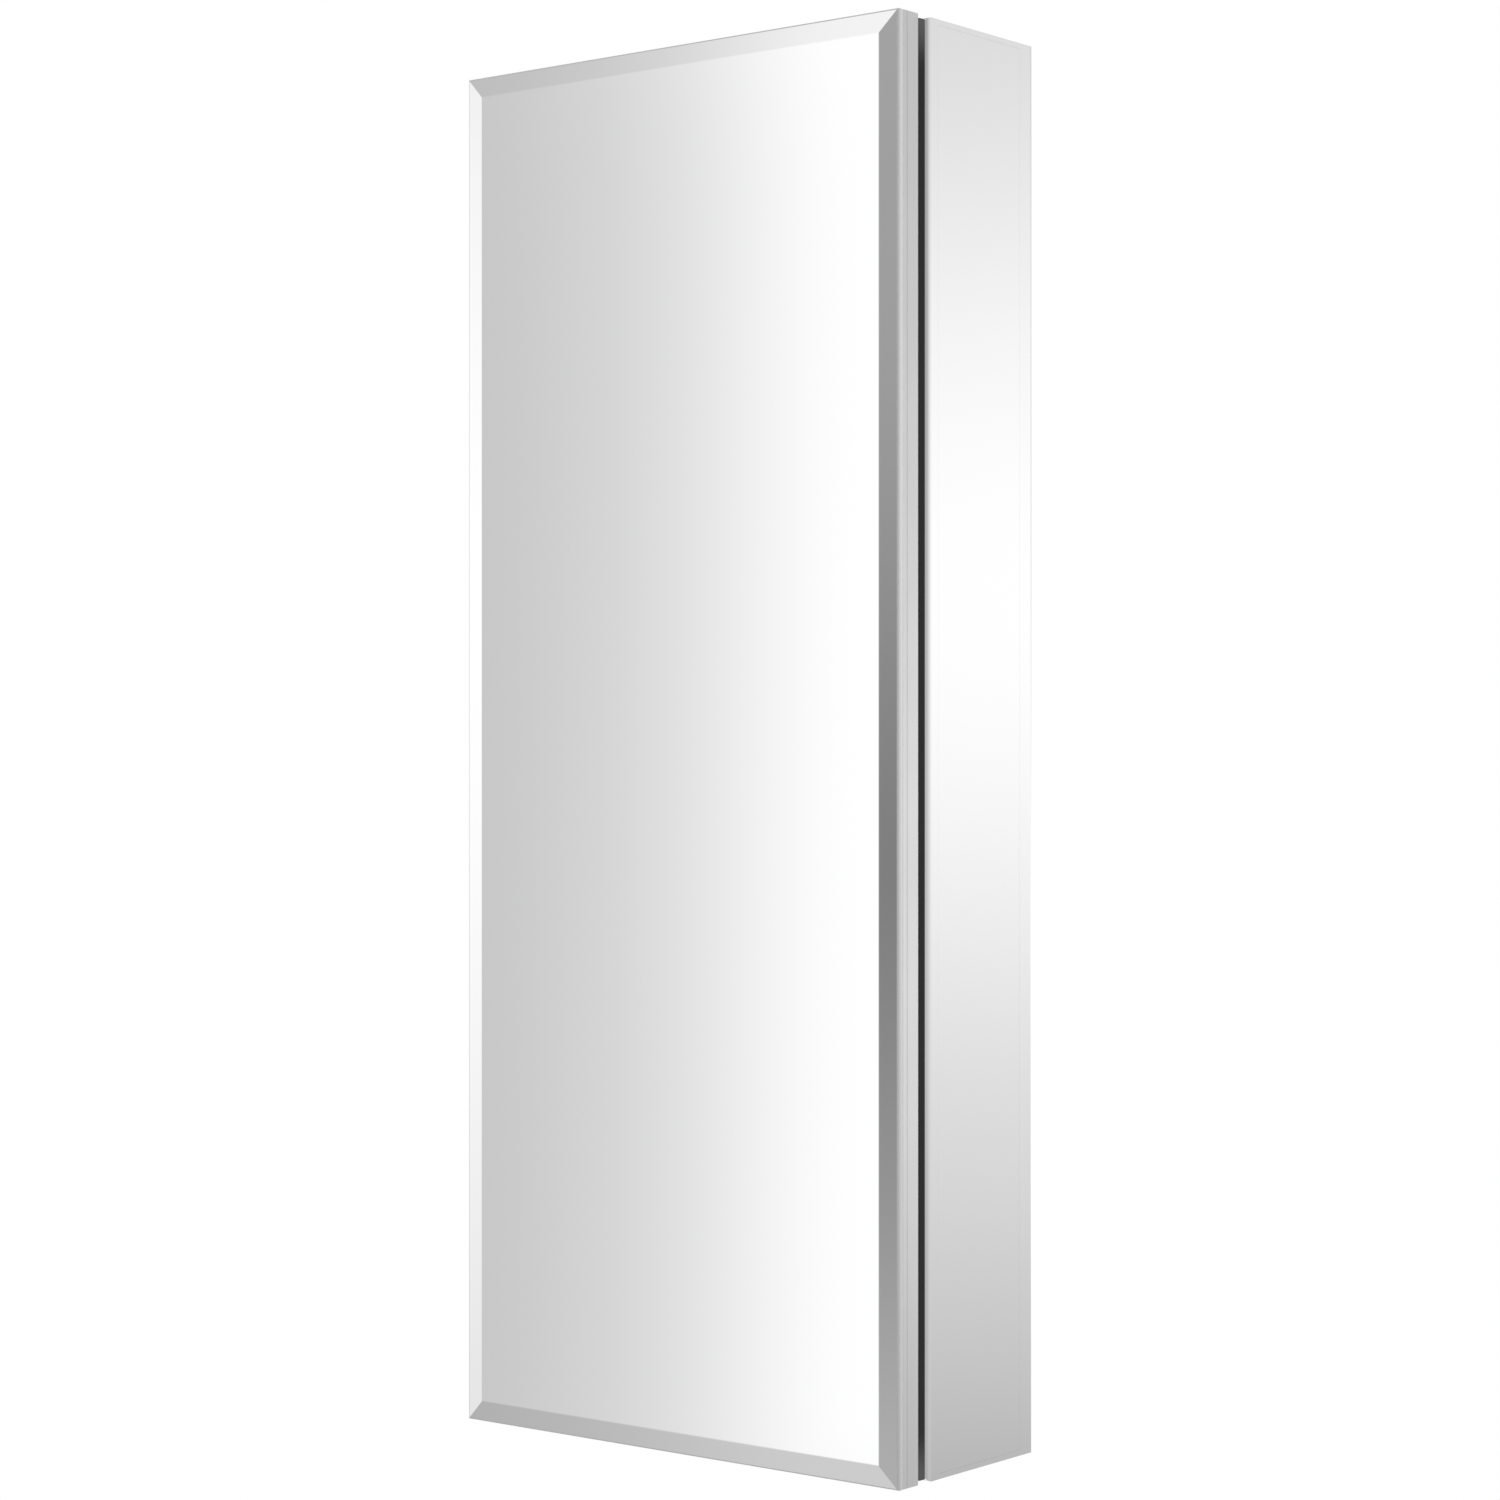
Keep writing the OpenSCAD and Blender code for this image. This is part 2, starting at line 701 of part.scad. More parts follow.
// The front mirror: a plate whose four edges are ground to a bevel
module door_mirror() {
    color("lightsteelblue") intersection() {
        translate([0, 0, -cab_h / 2]) linear_extrude(cab_h) bevelled_plate(cab_w);
        translate([-cab_w / 2, 0, 0]) rotate([90, 0, 90]) linear_extrude(cab_w) bevelled_edge(cab_h);
    }
}

// Section of the front mirror across its width: x across, y back
module bevelled_plate(w) {
    polygon([[-w / 2, glass_back], [w / 2, glass_back], [w / 2, -cab_d + bevel_drop],
             [w / 2 - bevel_w, -cab_d], [-w / 2 + bevel_w, -cab_d], [-w / 2, -cab_d + bevel_drop]]);
}

// The same section along its height: x back, y up
module bevelled_edge(h) {
    polygon([[glass_back, -h / 2], [glass_back, h / 2], [-cab_d + bevel_drop, h / 2],
             [-cab_d, h / 2 - bevel_w], [-cab_d, -h / 2 + bevel_w], [-cab_d + bevel_drop, -h / 2]]);
}

// Section of the door frame profile: p inwards from the outer face, q back from the glass
module stile_section() {
    rebate_q = frame_t - inner_glass;
    difference() {
        union() {
            round_rect([lip_w, frame_t], door_edge_r);
            translate([door_edge_r, 0]) square([lip_w - door_edge_r, frame_t - door_edge_r]);
            translate([lip_w / 2, 0]) square([lip_w / 2, frame_t]);
            translate([lip_w / 2, 0]) square([stile_w - lip_w / 2, rebate_q]);
        }
        translate([-eps, groove_q - groove_w / 2]) square([groove_deep, groove_w]);
        translate([stile_edge, stile_skin])
            square([stile_w - stile_edge - stile_skin, rebate_q - 2 * stile_skin]);
    }
}

module door_bar(turn, across, along) {
    mitred_bar(turn, across, along, glass_back, stile_w) stile_section();
}

module door_hinge_stile() {
    color("silver") difference() {
        door_bar(0, cab_w, cab_h);
        translate([0, 2 * door_back, 0]) mirror([0, 1, 0])
            leaf_screw_places(door_back) pilot_hole(small_screw, leaf_screw_l);
    }
}

module door_free_stile() {
    color("silver") door_bar(180, cab_w, cab_h);
}

module door_top_rail() {
    color("silver") door_bar(90, cab_h, cab_w);
}

module door_bottom_rail() {
    color("silver") door_bar(270, cab_h, cab_w);
}

door_key_p = stile_edge + snug + 10;
door_key_l = 40;

module door_corner_keys() {
    key = frame_t - inner_glass - 2 * stile_skin - 2 * snug;
    color("dimgray") at_corners(cab_w, cab_h)
        translate([0, glass_back + stile_skin + snug, 0])
            l_key(door_key_p, stile_w - stile_skin - snug, door_key_l, key);
}

module door_core() {
    color("burlywood") box([-cab_w / 2 + stile_w + fit, glass_back, -cab_h / 2 + stile_w + fit],
                           [cab_w / 2 - stile_w - fit, door_back - inner_glass, cab_h / 2 - stile_w - fit]);
}

module door_inner_mirror() {
    color("lightsteelblue")
        box([-cab_w / 2 + lip_w + fit, door_back - inner_glass, -cab_h / 2 + lip_w + fit],
            [cab_w / 2 - lip_w - fit, door_back, cab_h / 2 - lip_w - fit]);
}

// Shelves. level is 1 for the lowest; the glass lies on the clamps' lower jaws.
function shelf_z(level) = -inside_h / 2 + level * shelf_step;

// A plate whose straight edges have a small chamfer above and below, with its corner at the origin
module ground_plate(size, r, t, chamfer) {
    intersection() {
        linear_extrude(t) round_rect(size, r);
        rotate([90, 0, 90]) linear_extrude(size.x) chamfered_section(size.y, t, chamfer);
        translate([0, size.y, 0]) rotate([90, 0, 0]) linear_extrude(size.y)
            chamfered_section(size.x, t, chamfer);
    }
}

module chamfered_section(w, t, c) {
    polygon([[c, 0], [w - c, 0], [w, c], [w, t - c], [w - c, t], [c, t], [0, t - c], [0, c]]);
}

module shelf(level) {
    translate([-shelf_w / 2, body_front + shelf_front, shelf_z(level)])
        ground_plate([shelf_w, shelf_d], shelf_corner_r, shelf_t, shelf_arris);
}

// The four places where a shelf is held: x inwards from a side wall's face, y at a track's middle
module at_clamps(level) {
    for (m = [0, 1], q = [track_front_q, track_rear_q])
        mirror([m, 0, 0]) translate([-inside_w / 2, body_front + q, shelf_z(level)]) children();
}

module shelf_clamps(level) {
    at_clamps(level) difference() {
        translate([fit, clamp_w / 2, -clamp_lower]) rotate([90, 0, 0]) linear_extrude(clamp_w)
            round_rect([clamp_reach - fit, clamp_lower + shelf_t + clamp_upper], 1.5);
        box([clamp_reach - shelf_grip - snug, -clamp_w, 0], [clamp_reach + 1, clamp_w, shelf_t + snug]);
        translate([0, 0, -clamp_screw_drop]) rotate([0, 90, 0])
            cylinder(r = clamp_screw[0] + snug, h = 2 * clamp_reach);
    }
}

module shelf_screws(level) {
    at_clamps(level) translate([clamp_reach, 0, -clamp_screw_drop]) rotate([0, 90, 0])
        screw(clamp_screw, clamp_reach + skin + nut_t);
}

// A nut slides in the track behind each clamp
module shelf_nuts(level) {
    at_clamps(level) translate([-skin - fit, 0, -clamp_screw_drop]) difference() {
        box([-nut_t, -track_wide / 2 + fit, -nut_h / 2], [0, track_wide / 2 - fit, nut_h / 2]);
        rotate([0, -90, 0]) translate([0, 0, -1]) cylinder(r = clamp_screw[0] + pilot, h = nut_t + 2);
    }
}

module lower_shelf() { color([0.75, 0.9, 0.85, 0.5]) shelf(1); }
module middle_shelf() { color([0.75, 0.9, 0.85, 0.5]) shelf(2); }
module upper_shelf() { color([0.75, 0.9, 0.85, 0.5]) shelf(3); }
module lower_shelf_clamps() { color("silver") shelf_clamps(1); }
module middle_shelf_clamps() { color("silver") shelf_clamps(2); }
module upper_shelf_clamps() { color("silver") shelf_clamps(3); }
module lower_shelf_screws() { color("gainsboro") shelf_screws(1); }
module middle_shelf_screws() { color("gainsboro") shelf_screws(2); }
module upper_shelf_screws() { color("gainsboro") shelf_screws(3); }
module lower_shelf_nuts() { color("dimgray") shelf_nuts(1); }
module middle_shelf_nuts() { color("dimgray") shelf_nuts(2); }
module upper_shelf_nuts() { color("dimgray") shelf_nuts(3); }

left_wall();
right_wall();
top_wall();
bottom_wall();
wall_corner_keys();
wall_key_screws();
left_side_mirror();
right_side_mirror();
back_mirror();
back_sheet();
back_clips();
back_clip_screws();
hinge_side_seal();
free_side_seal();
top_seal();
bottom_seal();
hanging_bracket();
bracket_rivets();
wall_rail();
lower_spacers();
hinge_body_leaf();
hinge_pin();
hinge_body_screws();
hinge_door_leaf();
hinge_door_screws();
catch_housings();
catch_magnets();
catch_poles();
catch_screws();
strike_plates();
door_mirror();
door_hinge_stile();
door_free_stile();
door_top_rail();
door_bottom_rail();
door_corner_keys();
door_core();
door_inner_mirror();
lower_shelf();
lower_shelf_clamps();
lower_shelf_screws();
lower_shelf_nuts();
middle_shelf();
middle_shelf_clamps();
middle_shelf_screws();
middle_shelf_nuts();
upper_shelf();
upper_shelf_clamps();
upper_shelf_screws();
upper_shelf_nuts();
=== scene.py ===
import math

import bmesh
import bpy
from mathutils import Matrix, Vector


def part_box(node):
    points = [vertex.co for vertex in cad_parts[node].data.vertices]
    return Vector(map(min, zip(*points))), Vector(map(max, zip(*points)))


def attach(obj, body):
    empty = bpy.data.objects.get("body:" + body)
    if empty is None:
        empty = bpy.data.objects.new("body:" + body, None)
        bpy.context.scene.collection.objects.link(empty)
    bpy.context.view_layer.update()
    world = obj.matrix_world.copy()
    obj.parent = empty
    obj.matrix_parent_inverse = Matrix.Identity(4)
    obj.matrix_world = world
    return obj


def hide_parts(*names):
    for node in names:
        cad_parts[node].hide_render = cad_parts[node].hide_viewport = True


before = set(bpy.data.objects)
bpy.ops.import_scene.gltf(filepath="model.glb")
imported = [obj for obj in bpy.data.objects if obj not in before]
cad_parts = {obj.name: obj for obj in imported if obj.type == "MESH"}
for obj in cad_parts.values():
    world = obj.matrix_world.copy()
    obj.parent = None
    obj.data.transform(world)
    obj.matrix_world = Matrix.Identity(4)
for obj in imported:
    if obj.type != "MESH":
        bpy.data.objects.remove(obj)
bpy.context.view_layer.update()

# Camera
# The photograph is taken level with the cabinet's middle, from 38.5 degrees to its right, with a
# lens of about 81 mm. It is placed from the near corner of the door: the edge of the bevel.
VIEW_ANGLE = math.radians(38.497)
CORNER_DISTANCE = 1.7345           # from the camera to that corner, along the line of sight
CORNER_ASIDE = 0.07614             # from the line of sight to that corner
PHOTO_SIZE = 1500
FOCAL_PIXELS = 3377
HORIZON_PIXEL = 749.4
SENSOR = 36
NEAREST, FARTHEST = 0.05, 50
BEVEL_DROP = 0.0012                # how far the door glass's edge lies behind its face

door_low, door_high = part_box("door_mirror")
near_corner = Vector((door_high.x, door_low.y + BEVEL_DROP, 0))
line_of_sight = Vector((-math.sin(VIEW_ANGLE), math.cos(VIEW_ANGLE), 0))
image_right = Vector((math.cos(VIEW_ANGLE), math.sin(VIEW_ANGLE), 0))

camera_data = bpy.data.cameras.new("photo_camera")
camera_data.sensor_width = SENSOR
camera_data.lens = FOCAL_PIXELS / PHOTO_SIZE * SENSOR
camera_data.shift_y = (HORIZON_PIXEL - PHOTO_SIZE / 2) / PHOTO_SIZE
camera_data.clip_start = NEAREST
camera_data.clip_end = FARTHEST
camera = bpy.data.objects.new("photo_camera", camera_data)
camera.location = near_corner - line_of_sight * CORNER_DISTANCE - image_right * CORNER_ASIDE
camera.rotation_mode = "QUATERNION"
camera.rotation_quaternion = line_of_sight.to_track_quat("-Z", "Y")
bpy.context.collection.objects.link(camera)
bpy.context.scene.camera = camera
bpy.context.scene.view_settings.view_transform = "Standard"

# Studio
# A white room with a broad glow at eye level. Mirrors show what stands round them: two soft grey
# cards on the left in front of the cabinet, a dark strip between them and the middle, a grey
# screen on the right, sides and a rear that fade above and below the glow, and straight behind
# the wall a lower glow.
# Directions are azimuth from the front, positive to the left, and elevation, both in degrees. A
# card starts, is full, is full and ends at its four numbers. A fade runs between its first two
# elevations, by its third number.
WHITE = 1.05                       # light of the bare room, in mirrors
PLAIN_LIGHT = 0.72                 # light of the room on everything else
FIRST_CARD = (36.3, 41.2, 46.5, 54.0)
FIRST_CARD_DEPTH = 0.323
SECOND_CARD = (40.1, 43.4, 46.5, 54.0)
SECOND_CARD_DEPTH = 0.157
CARD_FOOT = (-11, -20, 0.35)       # the cards thin out towards the floor
LEAN_UP = (9, 22, 2.5)             # and lean left above and below, by degrees
LEAN_DOWN = (-11, -20, 3.0)
DARK_STRIP = (10, 19, 27, 35)
STRIP_HEIGHT = (-30, -7, 8, 45)
STRIP_DEPTH = 0.658
CORE_HEIGHT = (-11.9, -1, -3, 8.6)
CORE_DEPTH = 0.135                 # how much darker the strip is at eye level
SCREEN_SIDE = (-50, -150)          # between which the screen thins out
SCREEN_END = (10, 22)              # between which it ends on the left
SCREEN_DEPTH = 0.50
LEFT_WALL = (46, 54, 100, 130)
LEFT_TOP = (2, 24, 0.33)
LEFT_FOOT = (3, -22, 0.36)
RIGHT_WALL = (9, -14, -60, -100)
RIGHT_TOP = (-5, 9, 0.28)
RIGHT_FOOT = (-3, -10, 0.14)
CEILING_SHADE = (12, 21, 0.108)
FLOOR_SHADE = (-11, -18, 0.40)
BACK_TOP = (3, 15, 0.345)
BACK_CEILING = (13, 30, 0.35)
BACK_FOOT = (2.4, -9.5, 0.368)
BACK_DEEP = (-6.75, -17.5, 0.57)
BACK_FLOOR = (-13, -24)            # where the lit floor behind begins, and is full
BACK_GAIN = 0.014                  # how much brighter the rear of the room is
FAR_BACK = (148, 156)              # between which the lower glow comes in, on both sides
FAR_DIM = (-3, 5, 10, 20)
FAR_DIM_DEPTH = 0.85
FAR_GLOW = (0, -4, -7, -13)
FAR_GLOW_GAIN = 0.75

world = bpy.data.worlds.new("studio")
bpy.context.scene.world = world
world.use_nodes = True
sky = world.node_tree
sky.nodes.clear()


def add(tree, kind, inputs=(), **settings):
    """Adds a node with its settings. inputs are (name or number, socket or value) pairs."""
    node = tree.nodes.new(kind)
    for name, value in settings.items():
        setattr(node, name, value)
    for name, value in inputs:
        if isinstance(value, bpy.types.NodeSocket):
            tree.links.new(value, node.inputs[name])
        else:
            node.inputs[name].default_value = value
    return node


def reckon(tree, operation, *values):
    """One step of arithmetic in a node tree; the values are sockets or numbers."""
    return add(tree, "ShaderNodeMath", enumerate(values), operation=operation).outputs[0]


def times(tree, first, second):
    """A product in a node tree."""
    return reckon(tree, "MULTIPLY", first, second)


def plus(tree, first, second):
    """A sum in a node tree."""
    return reckon(tree, "ADD", first, second)


def minus(tree, first, second):
    """A difference in a node tree."""
    return reckon(tree, "SUBTRACT", first, second)


def sky_step(value, start, end, shape="SMOOTHSTEP"):
    """Rises from 0 at start to 1 at end."""
    span = (("Value", value), ("From Min", min(start, end)), ("From Max", max(start, end)),
            ("To Min", 0 if start < end else 1), ("To Max", 1 if start < end else 0))
    return add(sky, "ShaderNodeMapRange", span, interpolation_type=shape, clamp=True).outputs[0]


def sky_card(value, edges):
    """1 on a card with two soft sides and 0 beside it."""
    start, full, full_end, end = edges
    return times(sky, sky_step(value, start, full), sky_step(value, end, full_end))


def darken(mask, depth):
    """What is left of the light under a mask; depth is a socket or a number."""
    return minus(sky, 1, times(sky, mask, depth))


def fade(mask, profile):
    """Darkens between two elevations by the profile's last number, where the mask stands."""
    start, end, depth = profile
    return darken(times(sky, mask, sky_step(elevation, start, end)), depth)


def lean(profile):
    """How many degrees the cards lean, from none at one elevation to all at another."""
    start, end, degrees = profile
    return times(sky, sky_step(elevation, start, end), degrees)


direction = add(sky, "ShaderNodeTexCoord").outputs["Generated"]
split = add(sky, "ShaderNodeSeparateXYZ", [(0, direction)])
leftward = times(sky, split.outputs["X"], -1)
forward = times(sky, split.outputs["Y"], -1)
azimuth = reckon(sky, "DEGREES", reckon(sky, "ARCTAN2", leftward, forward))
elevation = reckon(sky, "DEGREES", reckon(sky, "ARCSINE", split.outputs["Z"]))

parts = []
leaning = minus(sky, azimuth, plus(sky, lean(LEAN_UP), lean(LEAN_DOWN)))
card_height = fade(1, CARD_FOOT)
for edges, depth in ((FIRST_CARD, FIRST_CARD_DEPTH), (SECOND_CARD, SECOND_CARD_DEPTH)):
    parts.append(darken(times(sky, sky_card(leaning, edges), card_height), depth))
strip_depth = plus(sky, times(sky, sky_card(elevation, STRIP_HEIGHT), STRIP_DEPTH),
                   times(sky, sky_card(elevation, CORE_HEIGHT), CORE_DEPTH))
parts.append(darken(sky_card(azimuth, DARK_STRIP), strip_depth))
right_back = sky_step(azimuth, *SCREEN_SIDE, "LINEAR")
screen = times(sky, minus(sky, 1, right_back), sky_step(azimuth, *reversed(SCREEN_END)))
parts.append(darken(screen, SCREEN_DEPTH))
left = sky_card(azimuth, LEFT_WALL)
right = sky_card(azimuth, RIGHT_WALL)
behind = reckon(sky, "MAXIMUM", right_back, sky_step(azimuth, *LEFT_WALL[2:]))
front = minus(sky, 1, behind)
above_floor = times(sky, behind, sky_step(elevation, *reversed(BACK_FLOOR)))
for mask, upper, lower in ((left, LEFT_TOP, LEFT_FOOT), (right, RIGHT_TOP, RIGHT_FOOT),
                           (front, CEILING_SHADE, FLOOR_SHADE), (behind, BACK_TOP, BACK_CEILING),
                           (above_floor, BACK_FOOT, BACK_DEEP)):
    parts += [fade(mask, upper), fade(mask, lower)]
far = sky_step(reckon(sky, "ABSOLUTE", azimuth), *FAR_BACK)
for edges, depth in ((FAR_DIM, FAR_DIM_DEPTH), (FAR_GLOW, -FAR_GLOW_GAIN)):
    parts.append(darken(times(sky, far, sky_card(elevation, edges)), depth))
parts.append(darken(behind, -BACK_GAIN))
room = WHITE
for part in parts:
    room = times(sky, part, room)


def sky_light(strength):
    """A white light of the studio; strength is a socket or a number."""
    return add(sky, "ShaderNodeBackground",
               [("Color", (1, 1, 1, 1)), ("Strength", strength)]).outputs[0]


rays = add(sky, "ShaderNodeLightPath")
lit = add(sky, "ShaderNodeMixShader",
          [("Fac", rays.outputs["Is Glossy Ray"]), (1, sky_light(PLAIN_LIGHT)),
           (2, sky_light(room))])
seen = reckon(sky, "MAXIMUM", rays.outputs["Is Camera Ray"], rays.outputs["Is Transmission Ray"])
shown = add(sky, "ShaderNodeMixShader", [("Fac", seen), (1, lit.outputs[0]), (2, sky_light(1))])
add(sky, "ShaderNodeOutputWorld", [("Surface", shown.outputs[0])])

# Floor
# The cabinet hangs nearly a metre over a round pale floor, which lies below the photograph's view
# and fades into the white of the room.
FLOOR_Z = -1.35
FLOOR_RADIUS = 2.5
FLOOR_SIDES = 96
FLOOR_FADES = (1.0, 2.4)           # distances from the middle


def new_material(name, **sockets):
    """A Principled material with values for its sockets; returns it, its tree and its shader."""
    material = bpy.data.materials.new(name)
    material.use_nodes = True
    shader = material.node_tree.nodes["Principled BSDF"]
    for socket, value in sockets.items():
        shader.inputs[socket.replace("_", " ").title().replace("Ior", "IOR")].default_value = value
    return material, material.node_tree, shader


floor_mesh = bpy.data.meshes.new("studio_floor")
disc = bmesh.new()
bmesh.ops.create_circle(disc, cap_ends=True, segments=FLOOR_SIDES, radius=FLOOR_RADIUS)
bmesh.ops.translate(disc, verts=disc.verts, vec=(0, 0, FLOOR_Z))
disc.to_mesh(floor_mesh)
disc.free()
floor = bpy.data.objects.new("studio_floor", floor_mesh)
bpy.context.collection.objects.link(floor)
pale, pale_tree, paint = new_material("pale_floor", base_color=(0.86, 0.86, 0.86, 1), roughness=0.8)
floor_place = add(pale_tree, "ShaderNodeTexCoord").outputs["Object"]
flat_place = add(pale_tree, "ShaderNodeVectorMath", [(0, floor_place), (1, (1, 1, 0))],
                 operation="MULTIPLY").outputs[0]
reach = add(pale_tree, "ShaderNodeVectorMath", [(0, flat_place)],
            operation="LENGTH").outputs["Value"]
fading = add(pale_tree, "ShaderNodeMapRange",
             [("Value", reach), ("From Min", FLOOR_FADES[0]), ("From Max", FLOOR_FADES[1])],
             interpolation_type="SMOOTHSTEP").outputs[0]
clear = add(pale_tree, "ShaderNodeBsdfTransparent").outputs[0]
faded = add(pale_tree, "ShaderNodeMixShader", [("Fac", fading), (1, paint.outputs[0]), (2, clear)])
pale_tree.links.new(faded.outputs[0], pale_tree.nodes["Material Output"].inputs["Surface"])
floor_mesh.materials.append(pale)

# Lamps
# Three square soft boxes round the cabinet, each with its place, size and power. The mirrors
# don't show them.
LAMPS = {"key_lamp": ((-1.3, -2.3, 1.5), 1.3, 26), "side_lamp": ((2.3, -0.6, 0.7), 1.2, 16),
         "top_lamp": ((0.2, -0.2, 2.2), 1.2, 14)}

for name, (place, size, power) in LAMPS.items():
    lamp_data = bpy.data.lights.new(name, "AREA")
    lamp_data.shape = "SQUARE"
    lamp_data.size = size
    lamp_data.energy = power
    lamp = bpy.data.objects.new(name, lamp_data)
    lamp.location = place
    lamp.rotation_mode = "QUATERNION"
    lamp.rotation_quaternion = (-Vector(place)).to_track_quat("-Z", "Y")
    lamp.visible_glossy = False
    bpy.context.collection.objects.link(lamp)

# Wall profiles
# Four mitred lengths of one hollow aluminium extrusion, polished and bright anodised. Faint lines
# from the die run along each length.
NOISE_SPAN = (0.3, 0.7)            # between which most of a noise's values lie
DIE_LINES = 900
DIE_DRAW = 0.004                   # the lines' scale along the profile, by their scale across it
DIE_DETAIL = 6
DIE_DEPTH = 0.0001
SHINE_PATCHES = 14


def noise(tree, scale, stretch=(1, 1, 1), detail=4.0):
    """Noise on Object coordinates, drawn out along the axes with a small stretch."""
    place = add(tree, "ShaderNodeTexCoord").outputs["Object"]
    drawn = add(tree, "ShaderNodeMapping", [("Vector", place), ("Scale", stretch)]).outputs[0]
    return add(tree, "ShaderNodeTexNoise",
               [("Vector", drawn), ("Scale", scale), ("Detail", detail)]).outputs["Fac"]


def vary(tree, fac, socket, low, high):
    """Drives a number socket between low and high by a texture."""
    spread = add(tree, "ShaderNodeMapRange",
                 [("Value", fac), ("From Min", NOISE_SPAN[0]), ("From Max", NOISE_SPAN[1]),
                  ("To Min", low), ("To Max", high)])
    tree.links.new(spread.outputs["Result"], socket)


def tint(tree, fac, socket, low, high, span=NOISE_SPAN):
    """Drives a colour socket between two colours by a texture, over a span of its values."""
    ramp = add(tree, "ShaderNodeValToRGB", [("Fac", fac)])
    for element, place, colour in zip(ramp.color_ramp.elements, span, (low, high)):
        element.position = place
        element.color = (*colour, 1)
    tree.links.new(ramp.outputs["Color"], socket)


def bump(tree, fac, shader, strength, distance):
    """Raises the surface by a texture."""
    relief = add(tree, "ShaderNodeBump",
                 [("Height", fac), ("Strength", strength), ("Distance", distance)])
    tree.links.new(relief.outputs["Normal"], shader.inputs["Normal"])


def extruded_metal(name, colours, roughness, grain, relief):
    """Aluminium with die lines along it, for upright and for level profiles. grain is how much
    wider it spreads a reflection across the lines than along them."""
    pair = []
    for way, along in (("upright", 2), ("level", 0)):
        material, tree, shader = new_material(f"{name}_{way}", metallic=1.0, anisotropic=grain)
        across = add(tree, "ShaderNodeTangent", direction_type="RADIAL", axis="XYZ"[along])
        tree.links.new(across.outputs[0], shader.inputs["Tangent"])
        stretch = [1.0, 1.0, 1.0]
        stretch[along] = DIE_DRAW
        lines = noise(tree, DIE_LINES, stretch, DIE_DETAIL)
        tint(tree, lines, shader.inputs["Base Color"], *colours)
        vary(tree, noise(tree, SHINE_PATCHES), shader.inputs["Roughness"], *roughness)
        bump(tree, lines, shader, relief, DIE_DEPTH)
        pair.append(material)
    return pair


def dress(material, *nodes):
    """Gives CAD nodes a material in place of their own."""
    for node in nodes:
        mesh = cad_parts[node].data
        mesh.materials.clear()
        mesh.materials.append(material)


polished_upright, polished_level = extruded_metal(
    "polished_profile", ((0.945, 0.945, 0.946), (0.965, 0.965, 0.966)), roughness=(0.045, 0.075),
    grain=0.2, relief=0.015)
dress(polished_upright, "left_wall", "right_wall")
dress(polished_level, "top_wall", "bottom_wall")

# Corner keys
# Aluminium keys, sawn from bar and left as they come, fill the corners of the body and the door.


def mottled(name, colours, colour_scale, roughness, roughness_scale, colour_stretch=(1, 1, 1),
            relief=None, **sockets):
    """A material whose colour and roughness each wander between two values, with a noise of their
    own scale. relief gives a third noise and its bumps: scale, stretch, strength and depth."""
    material, tree, shader = new_material(name, **sockets)
    tint(tree, noise(tree, colour_scale, colour_stretch), shader.inputs["Base Color"], *colours)
    vary(tree, noise(tree, roughness_scale), shader.inputs["Roughness"], *roughness)
    if relief:
        scale, stretch, strength, depth = relief
        bump(tree, noise(tree, scale, stretch), shader, strength, depth)
    return material


raw_aluminium = mottled("raw_aluminium", ((0.62, 0.63, 0.64), (0.72, 0.73, 0.74)), 60,
                        (0.32, 0.5), 400, relief=(1200, (1, 1, 0.1), 0.15, 0.0001), metallic=1.0)
dress(raw_aluminium, "wall_corner_keys", "door_corner_keys")

# Side and back mirrors
# 3 mm float glass, silvered behind and painted. The side mirrors lie flush in the profile, so only
# a hairline shows round them; their arrises are polished.
ARRIS = 0.00002
SIDE_SEAM = 0.00012                # how far a side mirror fills its clearance
CORNER_STEPS = 6

silver = mottled("silvered_glass", ((0.948, 0.952, 0.95), (0.956, 0.959, 0.957)), 3,
                 (0.002, 0.006), 25, metallic=1.0)
edge_glass = mottled("polished_glass_edge", ((0.70, 0.715, 0.71), (0.75, 0.76, 0.755)), 90,
                     (0.10, 0.18), 60, colour_stretch=(1, 1, 0.05), specular_ior_level=0.7,
                     metallic=0.45)
mirror_paint = mottled("mirror_back_paint", ((0.30, 0.31, 0.32), (0.36, 0.37, 0.38)), 40,
                       (0.5, 0.7), 300)


def keep_piece(name, mesh, body, slot, *nodes):
    """Stands a mesh for CAD nodes, on their body. slot is not used."""
    piece = bpy.data.objects.new(name, mesh)
    bpy.context.collection.objects.link(piece)
    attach(piece, body)
    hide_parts(*nodes)
    return piece


def shape_mesh(name, shape, *materials):
    """Turns a bmesh into a mesh with its faces outwards."""
    mesh = bpy.data.meshes.new(name)
    bmesh.ops.recalc_face_normals(shape, faces=shape.faces)
    shape.to_mesh(mesh)
    shape.free()
    for material in materials:
        mesh.materials.append(material)
    return mesh


def stack_loops(loops, materials):
    """Closed rings of points joined in turn, with both ends capped. materials gives each band's
    material index, from the first cap to the last."""
    shape = bmesh.new()
    rings = [[shape.verts.new(point) for point in loop] for loop in loops]
    shape.faces.new(rings[0]).material_index = materials[0]
    for ring, following, material in zip(rings, rings[1:], materials[1:]):
        for i in range(len(ring)):
            j = (i + 1) % len(ring)
            face = shape.faces.new((ring[i], ring[j], following[j], following[i]))
            face.material_index = material
    shape.faces.new(rings[-1]).material_index = materials[-1]
    return shape


